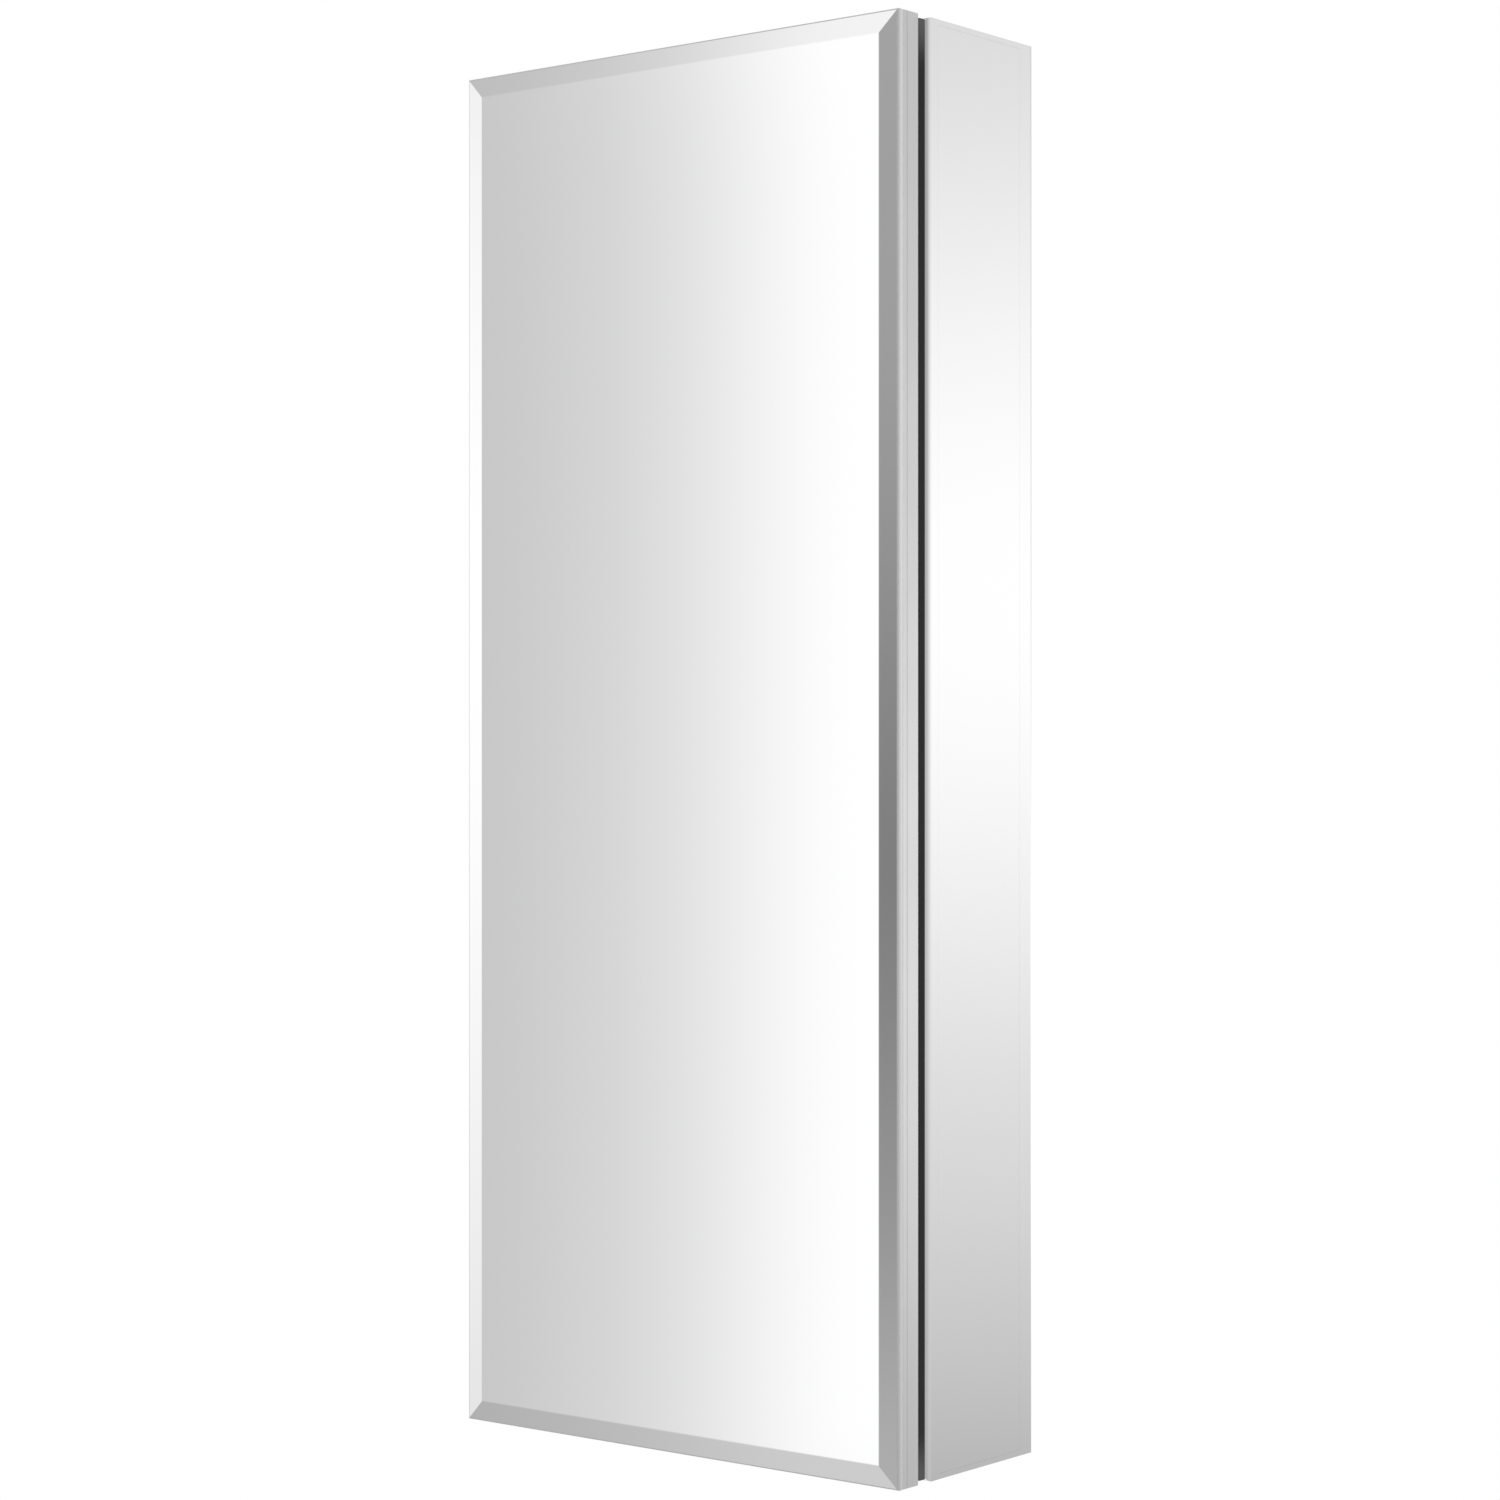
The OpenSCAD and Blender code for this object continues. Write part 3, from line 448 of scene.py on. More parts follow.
def rectangle(low, high, inset, corner=0.0):
    """The corners of a rectangle drawn in by an inset, or the points of its round corners."""
    points = []
    radius = max(corner - inset, 0) if corner else 0
    quarters = ((low[0], low[1], 1, 1), (high[0], low[1], -1, 1), (high[0], high[1], -1, -1),
                (low[0], high[1], 1, -1))
    for quarter, (u, v, su, sv) in enumerate(quarters):
        middle = (u + su * (inset + radius), v + sv * (inset + radius))
        if corner == 0:
            points.append(middle)
            continue
        for step in range(CORNER_STEPS + 1):
            turn = math.pi + (quarter + step / CORNER_STEPS) * math.pi / 2
            points.append((middle[0] + radius * math.cos(turn),
                           middle[1] + radius * math.sin(turn)))
    return points


def mirror_sheet(name, node, axis, front, body, seam=0.0):
    """A flat mirror in the place of its CAD node. axis is the one across its thickness, and front
    is +1 or -1 along it, the side that shows. seam is how far its edges stand out."""
    low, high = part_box(node)
    others = [i for i in range(3) if i != axis]
    back_at, front_at = (low[axis], high[axis]) if front > 0 else (high[axis], low[axis])
    loops = []
    for depth, inset in ((back_at, ARRIS), (back_at + front * ARRIS, 0),
                         (front_at - front * ARRIS, 0), (front_at, ARRIS)):
        loop = []
        for u, v in rectangle([low[i] for i in others], [high[i] for i in others], inset - seam):
            point = [0, 0, 0]
            point[axis], point[others[0]], point[others[1]] = depth, u, v
            loop.append(point)
        loops.append(loop)
    mesh = shape_mesh(name, stack_loops(loops, (2, 1, 1, 1, 0)), silver, edge_glass, mirror_paint)
    return keep_piece(name, mesh, body, "mirror_glass", node)


mirror_sheet("side_mirror_left", "left_side_mirror", 0, -1, "cabinet", SIDE_SEAM)
mirror_sheet("side_mirror_right", "right_side_mirror", 0, 1, "cabinet", SIDE_SEAM)
dress(silver, "back_mirror")

# Back
# A hot-dipped steel sheet behind the mirror: its zinc has frozen in flakes, each a little lighter
# or darker. The angle clips, the bracket and the rail that it hooks over are bent from plated
# strip.
FLAKES = 170                       # flakes in a metre
RAGGED = (350, 0.004)              # scale and depth of the flakes' ragged outlines
FROST = 900
FLAKE_SHARE, FROST_SHARE = 0.75, 0.25

zinc, zinc_tree, zinc_shader = new_material("zinc_plate", metallic=1.0)
zinc_place = add(zinc_tree, "ShaderNodeTexCoord").outputs["Object"]
ragged = add(zinc_tree, "ShaderNodeTexNoise",
             [("Vector", zinc_place), ("Scale", RAGGED[0]), ("Detail", 6)])
ragged_place = add(zinc_tree, "ShaderNodeVectorMath",
                   [(0, ragged.outputs["Color"]), (1, (RAGGED[1],) * 3), (2, zinc_place)],
                   operation="MULTIPLY_ADD").outputs[0]
flakes = add(zinc_tree, "ShaderNodeTexVoronoi",
             [("Vector", ragged_place), ("Scale", FLAKES), ("Smoothness", 0.2)], feature="SMOOTH_F1")
flake_tone = add(zinc_tree, "ShaderNodeSeparateColor", [("Color", flakes.outputs["Color"])])
frost = add(zinc_tree, "ShaderNodeTexNoise",
            [("Vector", zinc_place), ("Scale", FROST), ("Detail", 4)])
grey = plus(zinc_tree, times(zinc_tree, flake_tone.outputs["Red"], FLAKE_SHARE),
            times(zinc_tree, frost.outputs["Fac"], FROST_SHARE))
tint(zinc_tree, grey, zinc_shader.inputs["Base Color"], (0.61, 0.62, 0.635), (0.68, 0.69, 0.705))
vary(zinc_tree, flake_tone.outputs["Green"], zinc_shader.inputs["Roughness"], 0.30, 0.42)
bump(zinc_tree, grey, zinc_shader, 0.06, 0.0002)
dress(zinc, "back_sheet")
zinc_strip, strip_tree, strip_shader = new_material("rolled_zinc_strip", metallic=1.0)
rolling = noise(strip_tree, 700, (0.01, 1, 1), 5)
tint(strip_tree, rolling, strip_shader.inputs["Base Color"],
     (0.68, 0.69, 0.715), (0.77, 0.78, 0.80))
vary(strip_tree, noise(strip_tree, 35), strip_shader.inputs["Roughness"], 0.2, 0.32)
bump(strip_tree, rolling, strip_shader, 0.05, 0.0001)
dress(zinc_strip, "back_clips", "hanging_bracket", "wall_rail")

# Nylon parts
# The spacers that carry the lower wall screws and the housings of the catches are moulded in
# white nylon, with a fine spark-eroded grain.
nylon = mottled("white_nylon", ((0.80, 0.80, 0.77), (0.85, 0.85, 0.82)), 30, (0.38, 0.5), 900,
                relief=(1500, (1, 1, 1), 0.08, 0.0002), specular_ior_level=0.4,
                subsurface_weight=0.08)
dress(nylon, "lower_spacers", "catch_housings")

# Hinge
# A full-length hinge in stainless strip on one pin. The strip is brushed lengthways. The catch's
# poles, the strike plates and the shelf nuts are cut from the same strip.
hinge_steel, hinge_tree, hinge_shader = new_material("brushed_stainless", metallic=1.0)
brushing = noise(hinge_tree, 1400, (1, 1, 0.01), 5)
tint(hinge_tree, brushing, hinge_shader.inputs["Base Color"],
     (0.60, 0.60, 0.59), (0.72, 0.72, 0.71))
vary(hinge_tree, brushing, hinge_shader.inputs["Roughness"], 0.22, 0.38)
bump(hinge_tree, brushing, hinge_shader, 0.1, 0.0001)
dress(hinge_steel, "hinge_body_leaf", "hinge_door_leaf", "hinge_pin", "strike_plates",
      "catch_poles", "lower_shelf_nuts", "middle_shelf_nuts", "upper_shelf_nuts")

# Catch magnets
# Two sintered ferrite blocks, dark and slightly granular.
magnet = mottled("ferrite", ((0.05, 0.05, 0.055), (0.09, 0.09, 0.095)), 700, (0.5, 0.7), 500,
                 relief=(2500, (1, 1, 1), 0.2, 0.0001), metallic=0.3)
dress(magnet, "catch_magnets")

# Seals
# Four lengths of hollow black rubber, mitred and glued where they meet, with a foot pressed into a
# slot in the profile. The rubber's colour is paler towards its glued ends.
SEAL_WIDTH = 0.006
SEAL_WALL = 0.0009
SEAL_FLANK = 0.7                   # share of the height at which the straight sides begin
SEAL_ARC_STEPS = 14
SEAL_CREASE = math.radians(30)
SEAL_JOINT = 0.00008               # half the glue line of a mitre
NECK = (0.00105, 0.00175)          # half width, depth below the profile's front
NECK_LAP = 0.00005                 # how far the neck reaches into the bulb's base
FOOT = (0.00205, 0.00305)
FOOT_SHORT = 0.012                 # how far the foot stops before a seal's end
HINGE_FOOT_SHORT = 0.022
PALE_ENDS = (("X", 0.122, 0.134), ("Z", 0.350, 0.381))      # from, to, out from the middle
GRAIN_SHARE, PALE_END_SHARE = 0.55, 0.45

rubber, rubber_tree, rubber_shader = new_material("black_rubber", specular_ior_level=0.16)
rubber_grain = noise(rubber_tree, 1600, detail=2)
rubber_place = add(rubber_tree, "ShaderNodeTexCoord").outputs["Object"]
rubber_place = add(rubber_tree, "ShaderNodeSeparateXYZ", [(0, rubber_place)])
# The colour turns paler towards each end of a seal
near_end = [add(rubber_tree, "ShaderNodeMapRange",
                [("Value", reckon(rubber_tree, "ABSOLUTE", rubber_place.outputs[axis])),
                 ("From Min", start), ("From Max", end)], interpolation_type="SMOOTHSTEP").outputs[0]
            for axis, start, end in PALE_ENDS]
grain_and_pale_ends = plus(rubber_tree, times(rubber_tree, rubber_grain, GRAIN_SHARE),
              times(rubber_tree, times(rubber_tree, *near_end), PALE_END_SHARE))
tint(rubber_tree, grain_and_pale_ends, rubber_shader.inputs["Base Color"],
     (0.015, 0.015, 0.0155), (0.088, 0.088, 0.088))
vary(rubber_tree, rubber_grain, rubber_shader.inputs["Roughness"], 0.5, 0.66)

seal_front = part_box("free_side_seal")[0].y
seal_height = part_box("right_wall")[0].y - seal_front


def seal_section(inset):
    """The bulb's outline, drawn in by an inset: across from its outer side, back from its front."""
    middle = SEAL_WIDTH / 2
    radius = middle - inset
    outline = [(inset, seal_height - inset), (inset, seal_height * SEAL_FLANK)]
    for step in range(SEAL_ARC_STEPS + 1):
        turn = math.pi * step / SEAL_ARC_STEPS
        outline.append((middle - radius * math.cos(turn), middle - radius * math.sin(turn)))
    outline += [(SEAL_WIDTH - inset, seal_height * SEAL_FLANK),
                (SEAL_WIDTH - inset, seal_height - inset), (middle, seal_height - inset)]
    return outline


def seal_strip(name, node, side, along, outer, ends, foot_short):
    """One length of seal. side turns inwards distances into the frame's x or z, along is the other
    axis, outer is the place of its outer side and ends are its two mitred corners."""
    across = 2 - along

    def point(p, q, s):
        place = [0, seal_front + q, 0]
        place[across], place[along] = outer + side * p, s
        return place

    shape = bmesh.new()
    rings = []
    for end, sign in zip(ends, (1, -1)):
        for inset in (0, SEAL_WALL):
            rings.append([shape.verts.new(point(p, q, end + sign * (p + SEAL_JOINT)))
                          for p, q in seal_section(inset)])
    first, first_hollow, last, last_hollow = rings
    foot = [(-NECK[0], seal_height - NECK_LAP), (-NECK[0], seal_height + NECK[1]),
            (-FOOT[0], seal_height + NECK[1]), (-FOOT[0], seal_height + FOOT[1])]
    foot += [(-p, q) for p, q in reversed(foot)]
    caps = [[shape.verts.new(point(SEAL_WIDTH / 2 + p, q, end + sign * foot_short))
             for p, q in foot] for end, sign in zip(ends, (1, -1))]
    for a, b in ((first, last), (last_hollow, first_hollow), (first_hollow, first),
                 (last, last_hollow), caps):
        for i in range(len(a)):
            j = (i + 1) % len(a)
            shape.faces.new((a[i], a[j], b[j], b[i]))
    for cap in caps:
        shape.faces.new(cap)
    mesh = shape_mesh(name, shape, rubber)
    mesh.shade_smooth()
    mesh.set_sharp_from_angle(angle=SEAL_CREASE)
    return keep_piece(name, mesh, "cabinet", "black_rubber", node)


seal_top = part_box("top_seal")[1].z
hinge_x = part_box("hinge_side_seal")[0].x
free_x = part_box("free_side_seal")[1].x
upright_ends, level_ends = (-seal_top, seal_top), (hinge_x, free_x)
for node, side, along, outer, ends, foot_short in (
        ("hinge_side_seal", 1, 2, hinge_x, upright_ends, HINGE_FOOT_SHORT),
        ("free_side_seal", -1, 2, free_x, upright_ends, FOOT_SHORT),
        ("top_seal", -1, 0, seal_top, level_ends, FOOT_SHORT),
        ("bottom_seal", 1, 0, -seal_top, level_ends, FOOT_SHORT)):
    seal_strip(f"{node}_rubber", node, side, along, outer, ends, foot_short)

# Screws and rivets
# Zinc plated pan heads with a cross recess and a rolled thread, each turned to where it was driven
# tight, and the domed rivets that fix the bracket, with the stub of their mandrel in the middle.
SCREW_SEED = 7
SCREW_SIDES = 24
SCREW_CREASE = math.radians(35)
HEAD_RINGS = 14
SCREW_HEAD = ((0.94, 0), (1, 0.05), (1, 0.30), (0.99, 0.50), (0.95, 0.64), (0.89, 0.75),
              (0.81, 0.83), (0.71, 0.89), (0.60, 0.93), (0.48, 0.96), (0.36, 0.98), (0.24, 0.99),
              (0.12, 1), (0, 1))
RIVET_HEAD = ((0.96, 0), (1, 0.08), (0.98, 0.25), (0.93, 0.45), (0.85, 0.63), (0.74, 0.79),
              (0.62, 0.90), (0.50, 0.97), (0.42, 1), (0.37, 0.95), (0.35, 0.50), (0.27, 0.48),
              (0.24, 0.60), (0, 0.64))
THREAD_RINGS = 4                   # rings of the shank to a turn of the thread
TIP_SHARE, TIP_SWELL = 0.55, 3     # the shank's radius at its tip, and its gain over the length
RECESS_LENGTH, RECESS_WIDTH = 1.15, 0.22       # a recess bar's, by the head's radius
RECESS_DEPTH = 1.2                 # and its depth, by the head's height
RECESS_MIDDLE, RECESS_TAPER = 0.8, 0.4         # its size half way down, and its gain to the top
TURNED_MERGE = 0.000004
CUT_MERGE = 0.00001
SAME_POINT = 1e-6
END_SHARE = 0.3                    # what counts as a fastener's end, by the head's height
SMALL_HEAD, CLAMP_HEAD, RIVET_HEIGHT = 0.0011, 0.0018, 0.001
SMALL_THREAD = (0.0009, 0.09)      # pitch, depth by the shank's radius
CLAMP_THREAD = (0.0008, 0.07)
PLAIN_SHANK = (0.004, 0)

bright_zinc = mottled("bright_zinc", ((0.66, 0.67, 0.69), (0.78, 0.79, 0.80)), 300,
                      (0.2, 0.35), 500, metallic=1.0)
rivet_metal = mottled("rivet_aluminium", ((0.70, 0.71, 0.72), (0.80, 0.81, 0.82)), 200,
                      (0.22, 0.34), 600, metallic=1.0)


def profile_curve(tree, value, numbers):
    """Reads a number off a curve with one point for each ring of a head, the first at 0."""
    curve = add(tree, "ShaderNodeFloatCurve", [("Value", value)])
    points = curve.mapping.curves[0].points
    points[0].location, points[1].location = (0, 0), (1, numbers[-1])
    for i, number in enumerate(numbers[:-1]):
        points.new((i + 1) / HEAD_RINGS, number)
    for point in points:
        point.handle_type = "VECTOR"
    curve.mapping.update()
    return curve.outputs[0]


def point_place(tree):
    """The x, y and z of each point."""
    place = add(tree, "GeometryNodeInputPosition").outputs[0]
    return add(tree, "ShaderNodeSeparateXYZ", [(0, place)]).outputs


def vector(tree, x, y, z):
    """A vector of three sockets or numbers."""
    return add(tree, "ShaderNodeCombineXYZ", enumerate((x, y, z))).outputs[0]


def merge(tree, geometry, distance):
    """Joins the points that lie within a distance of each other."""
    return add(tree, "GeometryNodeMergeByDistance",
               [("Geometry", geometry), ("Distance", distance)]).outputs[0]


def fastener_tree(name, head, cross):
    """A tree that turns a fastener on each of its points, with its head along the point's "out".
    head gives its rings as parts of the head's radius and height; cross cuts a cross recess."""
    tree = bpy.data.node_groups.new(name, "GeometryNodeTree")
    tree.is_modifier = True
    sockets = (("Seats", "NodeSocketGeometry"), ("Head Radius", "NodeSocketFloat"),
               ("Head Height", "NodeSocketFloat"), ("Shank Radius", "NodeSocketFloat"),
               ("Shank Length", "NodeSocketFloat"), ("Thread Pitch", "NodeSocketFloat"),
               ("Thread Depth", "NodeSocketFloat"), ("Sides", "NodeSocketInt"),
               ("Seed", "NodeSocketInt"), ("Finish", "NodeSocketMaterial"))
    for socket, kind in sockets:
        tree.interface.new_socket(socket, in_out="INPUT", socket_type=kind)
    tree.interface.new_socket("Fasteners", in_out="OUTPUT", socket_type="NodeSocketGeometry")
    given = add(tree, "NodeGroupInput").outputs

    # A tube of one unit, whose rings become the shank's and then the head's
    turns = reckon(tree, "DIVIDE", given["Shank Length"], given["Thread Pitch"])
    shank_rings = reckon(tree, "ROUND", times(tree, turns, THREAD_RINGS))
    rings = plus(tree, shank_rings, HEAD_RINGS)
    tube = add(tree, "GeometryNodeMeshCylinder",
               [("Vertices", given["Sides"]), ("Side Segments", rings), ("Radius", 1.0),
                ("Depth", 1.0)], fill_type="TRIANGLE_FAN")
    here = point_place(tree)
    ring = reckon(tree, "ROUND", times(tree, plus(tree, here["Z"], 0.5), rings))
    in_shank = reckon(tree, "MINIMUM", reckon(tree, "DIVIDE", ring, shank_rings), 1)
    head_ring = reckon(tree, "MAXIMUM", minus(tree, ring, shank_rings), 0)
    in_head = reckon(tree, "DIVIDE", head_ring, HEAD_RINGS)
    is_shank = reckon(tree, "LESS_THAN", in_head, 0.5 / HEAD_RINGS)

    # Down the shank, then up the head
    depth = times(tree, minus(tree, in_shank, 1), given["Shank Length"])
    risen = times(tree, profile_curve(tree, in_head, [z for r, z in head]), given["Head Height"])
    turn = reckon(tree, "ARCTAN2", here["Y"], here["X"])
    wound = times(tree, reckon(tree, "DIVIDE", depth, given["Thread Pitch"]), 2 * math.pi)
    wave = reckon(tree, "SINE", minus(tree, wound, turn))
    thread = minus(tree, 1, times(tree, minus(tree, 1, wave), given["Thread Depth"]))
    tip = reckon(tree, "MINIMUM", plus(tree, TIP_SHARE, times(tree, in_shank, TIP_SWELL)), 1)
    shank = times(tree, times(tree, thread, tip), given["Shank Radius"])
    wide = times(tree, profile_curve(tree, in_head, [r for r, z in head]), given["Head Radius"])
    radius = plus(tree, times(tree, shank, is_shank), wide)
    # A cap's middle point stays in the middle
    flat = vector(tree, here["X"], here["Y"], 0)
    inner = add(tree, "ShaderNodeVectorMath", [(0, flat)], operation="LENGTH").outputs["Value"]
    radius = times(tree, radius, inner)
    place = vector(tree, times(tree, reckon(tree, "COSINE", turn), radius),
                   times(tree, reckon(tree, "SINE", turn), radius), plus(tree, depth, risen))
    turned = add(tree, "GeometryNodeSetPosition",
                 [("Geometry", tube.outputs["Mesh"]), ("Position", place)]).outputs[0]
    solid = merge(tree, turned, TURNED_MERGE)

    if cross:
        # Two crossed bars, narrower at the bottom, are cut out of the head
        long = times(tree, given["Head Radius"], RECESS_LENGTH)
        narrow = times(tree, given["Head Radius"], RECESS_WIDTH)
        deep = times(tree, given["Head Height"], RECESS_DEPTH)
        cut = add(tree, "GeometryNodeMeshBoolean", [("Mesh 1", solid)], operation="DIFFERENCE",
                  solver="MANIFOLD")
        for sizes in ((long, narrow), (narrow, long)):
            size = vector(tree, *sizes, deep)
            bar = add(tree, "GeometryNodeMeshCube", [("Size", size)]).outputs["Mesh"]
            corner = point_place(tree)
            gain = times(tree, reckon(tree, "DIVIDE", corner["Z"], deep), RECESS_TAPER)
            taper = plus(tree, RECESS_MIDDLE, gain)
            tapered = vector(tree, times(tree, corner["X"], taper), times(tree, corner["Y"], taper),
                             plus(tree, corner["Z"], given["Head Height"]))
            bar = add(tree, "GeometryNodeSetPosition", [("Geometry", bar), ("Position", tapered)])
            tree.links.new(bar.outputs[0], cut.inputs["Mesh 2"])
        # The cut leaves corners a micrometre apart
        solid = merge(tree, cut.outputs["Mesh"], CUT_MERGE)

    out = add(tree, "GeometryNodeInputNamedAttribute", [("Name", "out")], data_type="FLOAT_VECTOR")
    facing = add(tree, "FunctionNodeAlignRotationToVector", [("Vector", out.outputs["Attribute"])],
                 axis="Z")
    driven = add(tree, "FunctionNodeRandomValue",
                 [(2, 0), (3, math.pi / 2), ("Seed", given["Seed"])], data_type="FLOAT")
    spin = add(tree, "FunctionNodeAxisAngleToRotation",
               [("Axis", (0, 0, 1)), ("Angle", driven.outputs[1])])
    standing = add(tree, "FunctionNodeRotateRotation",
                   [("Rotation", facing.outputs[0]), ("Rotate By", spin.outputs[0])],
                   rotation_space="LOCAL")
    seated = add(tree, "GeometryNodeInstanceOnPoints",
                 [("Points", given["Seats"]), ("Instance", solid),
                  ("Rotation", standing.outputs[0])])
    real = add(tree, "GeometryNodeRealizeInstances", [("Geometry", seated.outputs[0])])
    finished = add(tree, "GeometryNodeSetMaterial",
                   [("Geometry", real.outputs[0]), ("Material", given["Finish"])])
    add(tree, "NodeGroupOutput", [("Fasteners", finished.outputs[0])])
    return tree


def loose_parts(node):
    """The points of each solid of a CAD node, from a merged copy of its mesh."""
    shape = bmesh.new()
    shape.from_mesh(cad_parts[node].data)
    bmesh.ops.remove_doubles(shape, verts=shape.verts, dist=SAME_POINT)
    left_over = set(shape.verts)
    found = []
    while left_over:
        reached, waiting = [], [left_over.pop()]
        while waiting:
            vertex = waiting.pop()
            reached.append(vertex.co.copy())
            for edge in vertex.link_edges:
                other = edge.other_vert(vertex)
                if other in left_over:
                    left_over.remove(other)
                    waiting.append(other)
        found.append(reached)
    shape.free()
    return sorted(found, key=lambda points: tuple(round(c, 5) for c in points_box(points)[0]))


def points_box(points):
    """Lowest and highest corner of some points."""
    return [[pick(p[i] for p in points) for i in range(3)] for pick in (min, max)]


def fasteners(name, node, tree, finish, body, slot, head_height, thread, seed, along=None):
    """Turns one fastener in the place of each solid of a CAD node. They lie along their longest
    side, or along the axis given. thread is its pitch and depth."""
    seats, outs = [], []
    for points in loose_parts(node):
        low, high = points_box(points)
        middle = [(a + b) / 2 for a, b in zip(low, high)]
        axis = max(range(3), key=lambda i: high[i] - low[i]) if along is None else along
        others = [i for i in range(3) if i != axis]

        def spread(end):
            return max(math.hypot(*(p[i] - middle[i] for i in others))
                       for p in points if abs(p[axis] - end) < head_height * END_SHARE)

        top, sign = (high[axis], 1) if spread(high[axis]) > spread(low[axis]) else (low[axis], -1)
        bottom = low[axis] if sign > 0 else high[axis]
        seat = list(middle)
        seat[axis] = top - sign * head_height
        out = [0, 0, 0]
        out[axis] = sign
        seats.append(seat)
        outs.append(out)
        sizes = {"Head Radius": (high[others[0]] - low[others[0]]) / 2, "Head Height": head_height,
                 "Shank Radius": spread(bottom),
                 "Shank Length": high[axis] - low[axis] - head_height,
                 "Thread Pitch": thread[0], "Thread Depth": thread[1], "Sides": SCREW_SIDES,
                 "Seed": seed, "Finish": finish}
    points_mesh = bpy.data.meshes.new(name + "_seats")
    points_mesh.from_pydata(seats, [], [])
    direction_data = points_mesh.attributes.new("out", "FLOAT_VECTOR", "POINT")
    direction_data.data.foreach_set("vector", [c for out in outs for c in out])
    holder = bpy.data.objects.new(name + "_seats", points_mesh)
    bpy.context.collection.objects.link(holder)
    made = holder.modifiers.new("fasteners", "NODES")
    made.node_group = tree
    for item in tree.interface.items_tree:
        if item.in_out == "INPUT" and item.name in sizes:
            made[item.identifier] = sizes[item.name]
    evaluated = holder.evaluated_get(bpy.context.evaluated_depsgraph_get())
    mesh = bpy.data.meshes.new_from_object(evaluated)
    holder.modifiers.remove(made)
    bpy.data.objects.remove(holder)
    mesh.name = name
    mesh.shade_smooth()
    mesh.set_sharp_from_angle(angle=SCREW_CREASE)
    return keep_piece(name, mesh, body, slot, node)


pan_heads = fastener_tree("pan_head_screws", SCREW_HEAD, True)
domed_rivets = fastener_tree("domed_rivets", RIVET_HEAD, False)
for number, (node, body) in enumerate((
        ("wall_key_screws", "cabinet"), ("back_clip_screws", "cabinet"),
        ("catch_screws", "cabinet"), ("hinge_body_screws", "cabinet"),
        ("hinge_door_screws", "door"))):
    fasteners(node.replace("screws", "pan_heads"), node, pan_heads, bright_zinc, body,
              "zinc_screws", SMALL_HEAD, SMALL_THREAD, SCREW_SEED + number)
for number, level in enumerate(("lower", "middle", "upper")):
    fasteners(f"{level}_clamp_pan_heads", f"{level}_shelf_screws", pan_heads, bright_zinc,
              f"{level}_shelf_set", "zinc_screws", CLAMP_HEAD, CLAMP_THREAD,
              SCREW_SEED + 10 + number)
fasteners("bracket_domed_rivets", "bracket_rivets", domed_rivets, rivet_metal, "cabinet",
          "raw_aluminium", RIVET_HEIGHT, PLAIN_SHANK, SCREW_SEED + 20, along=1)

# Door frame
# Four mitred lengths of satin anodised profile with a fine groove round the door's edge. The
# shelves' clamps are cut from profile with the same finish.
satin_upright, satin_level = extruded_metal(
    "satin_profile", ((0.88, 0.88, 0.883), (0.91, 0.91, 0.912)), roughness=(0.33, 0.38),
    grain=0.85, relief=0.02)
dress(satin_upright, "door_hinge_stile", "door_free_stile")
dress(satin_level, "door_top_rail", "door_bottom_rail", "lower_shelf_clamps", "middle_shelf_clamps",
      "upper_shelf_clamps")

# Door core
# A board of paper honeycomb between the two mirrors, faced in brown card.
card = mottled("brown_card", ((0.38, 0.29, 0.19), (0.50, 0.39, 0.27)), 250, (0.7, 0.9), 600,
               colour_stretch=(1, 1, 0.2))
dress(card, "door_core")

# Door mirror
# 5 mm mirror with a bevel ground and polished on all four edges, 11.5 mm wide. Its outer edge is
# polished round, and the wheel has softened the line between the bevel and the face.
# The ground edge's grey is painted shade: dark next to the bevel, light towards the back.
BEVEL_WIDTH = 0.0115
FACE_BLEND = 0.0006                # half the width of that soft line
BLEND_POINTS = (-1, -0.5, 0, 0.5, 1)
EDGE_ROUND = 0.001
EDGE_STEPS = 8
EDGE_SHADED_GREYS = (0.45, 0.73)          # painted shade of the ground edge: its grey next to the bevel and at the back
EDGE_GREEN = (1, 1.012, 1.006)
# How much of the ground edge's grey is painted shade by depth, and how much is streaks
PAINTED_SHADE_SHARE, STREAK_SHARE = 0.94, 0.06

face_y, back_y = door_low.y, door_high.y
ground_edge, ground_tree, ground_shader = new_material("ground_door_edge_painted_shade", specular_ior_level=0.6,
                                                       metallic=0.33)
ground_place = add(ground_tree, "ShaderNodeTexCoord").outputs["Object"]
ground_place = add(ground_tree, "ShaderNodeSeparateXYZ", [(0, ground_place)])
# Painted shade: the ground edge is darkest next to the bevel and lightest at the back
painted_shade_by_depth = add(ground_tree, "ShaderNodeMapRange",
               [("Value", ground_place.outputs["Y"]), ("From Min", face_y + BEVEL_DROP),
                ("From Max", back_y)]).outputs[0]
streak = noise(ground_tree, 200, (1, 8, 1))
shade_and_streak = plus(ground_tree, times(ground_tree, painted_shade_by_depth, PAINTED_SHADE_SHARE),
              times(ground_tree, streak, STREAK_SHARE))
shaded_edge_tones = [[grey_level * channel for channel in EDGE_GREEN] for grey_level in EDGE_SHADED_GREYS]
tint(ground_tree, shade_and_streak, ground_shader.inputs["Base Color"], *shaded_edge_tones, span=(0, 1))
vary(ground_tree, streak, ground_shader.inputs["Roughness"], 0.12, 0.2)
slope = BEVEL_DROP / BEVEL_WIDTH
round_y = face_y + BEVEL_DROP - slope * EDGE_ROUND + EDGE_ROUND * math.hypot(1, slope)
profile = [(ARRIS, back_y), (0, back_y - ARRIS)]
for step in range(EDGE_STEPS + 1):
    turn = (math.pi / 2 - math.atan(slope)) * step / EDGE_STEPS
    profile.append((EDGE_ROUND * (1 - math.cos(turn)), round_y - EDGE_ROUND * math.sin(turn)))
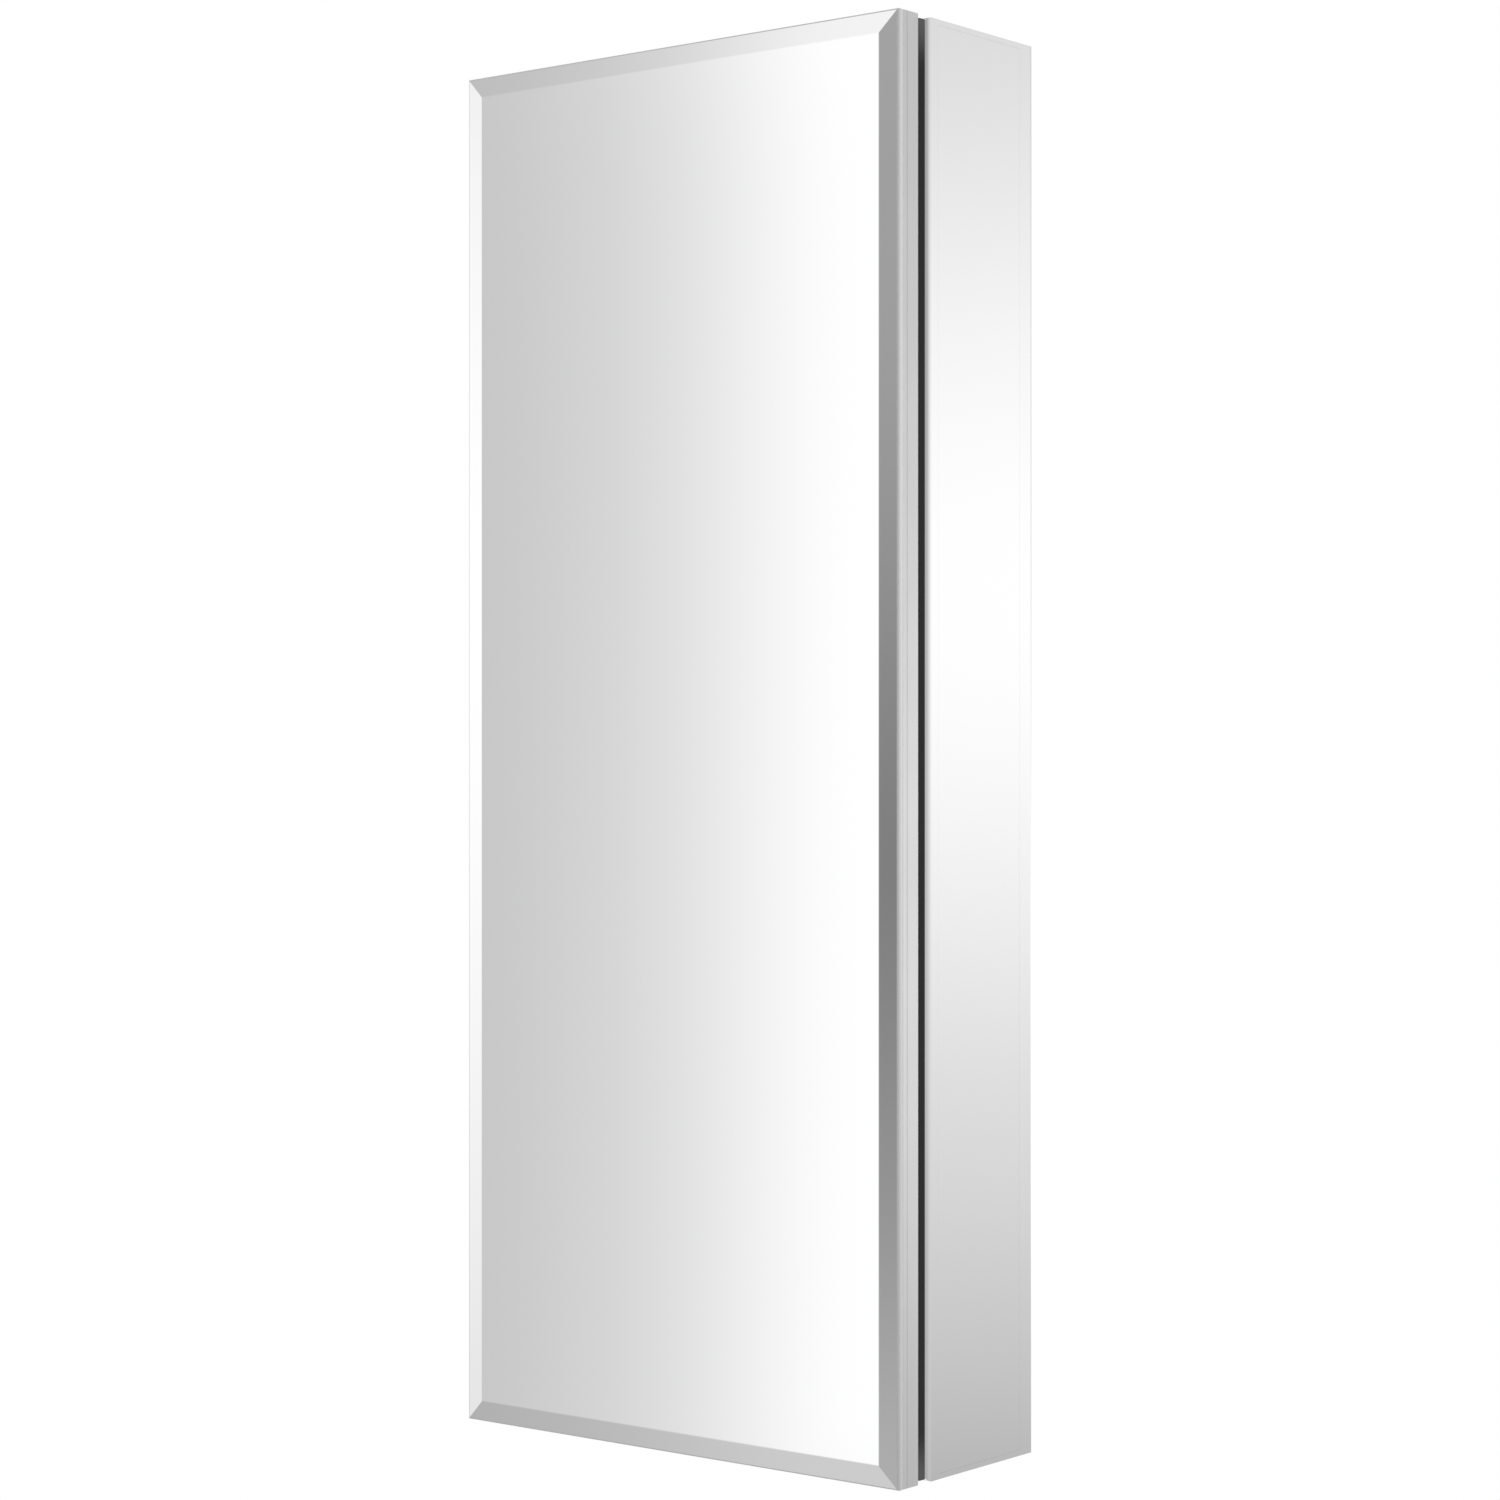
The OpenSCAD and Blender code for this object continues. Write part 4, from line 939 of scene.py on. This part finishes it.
for share in BLEND_POINTS:
    rise = slope * FACE_BLEND * (1 - share) ** 2 / 4
    profile.append((BEVEL_WIDTH + share * FACE_BLEND, face_y + rise))
door_loops = [[(x, depth, z) for x, z in
               rectangle((door_low.x, door_low.z), (door_high.x, door_high.z), inset)]
              for inset, depth in profile]
door_bands = [2] + [1] * (EDGE_STEPS + 2) + [0] * (len(BLEND_POINTS) + 1)
door_glass = shape_mesh("bevelled_door_mirror", stack_loops(door_loops, door_bands),
                        silver, ground_edge, mirror_paint)
keep_piece("bevelled_door_mirror", door_glass, "door", "mirror_glass", "door_mirror")
mirror_sheet("mirror_inside_door", "door_inner_mirror", 1, 1, "door")

# Shelves
# 5 mm clear float glass with round corners. The edges are ground round and polished, and show the
# green of the glass.
SHELF_CORNER = 0.003
# Each ring of the edge: inset, distance from a face
SHELF_EDGE = ((0.0008, 0.0), (0.00035, 0.00012), (0.0001, 0.0004), (0.0, 0.0009))

shelf_glass = mottled("shelf_glass", ((0.94, 0.975, 0.96), (0.95, 0.98, 0.965)), 4,
                      (0.0, 0.01), 50, transmission_weight=1.0, ior=1.5)
shelf_edge = mottled("shelf_glass_edge", ((0.42, 0.66, 0.56), (0.52, 0.74, 0.64)), 60,
                     (0.06, 0.14), 300, transmission_weight=0.6, ior=1.5)
for level in ("lower", "middle", "upper"):
    low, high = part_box(f"{level}_shelf")
    rings = [(inset, low.z + rise) for inset, rise in SHELF_EDGE]
    rings += [(inset, high.z - rise) for inset, rise in reversed(SHELF_EDGE)]
    loops = [[(x, y, z) for x, y in
              rectangle((low.x, low.y), (high.x, high.y), inset, SHELF_CORNER)]
             for inset, z in rings]
    bands = [0] + [1] * (len(rings) - 1) + [0]
    name = f"{level}_glass_shelf"
    shelf_mesh = shape_mesh(name, stack_loops(loops, bands), shelf_glass, shelf_edge)
    keep_piece(name, shelf_mesh, f"{level}_shelf_set", "shelf_glass", f"{level}_shelf")

# Update
# The scene is brought up to date.
bpy.context.view_layer.update()
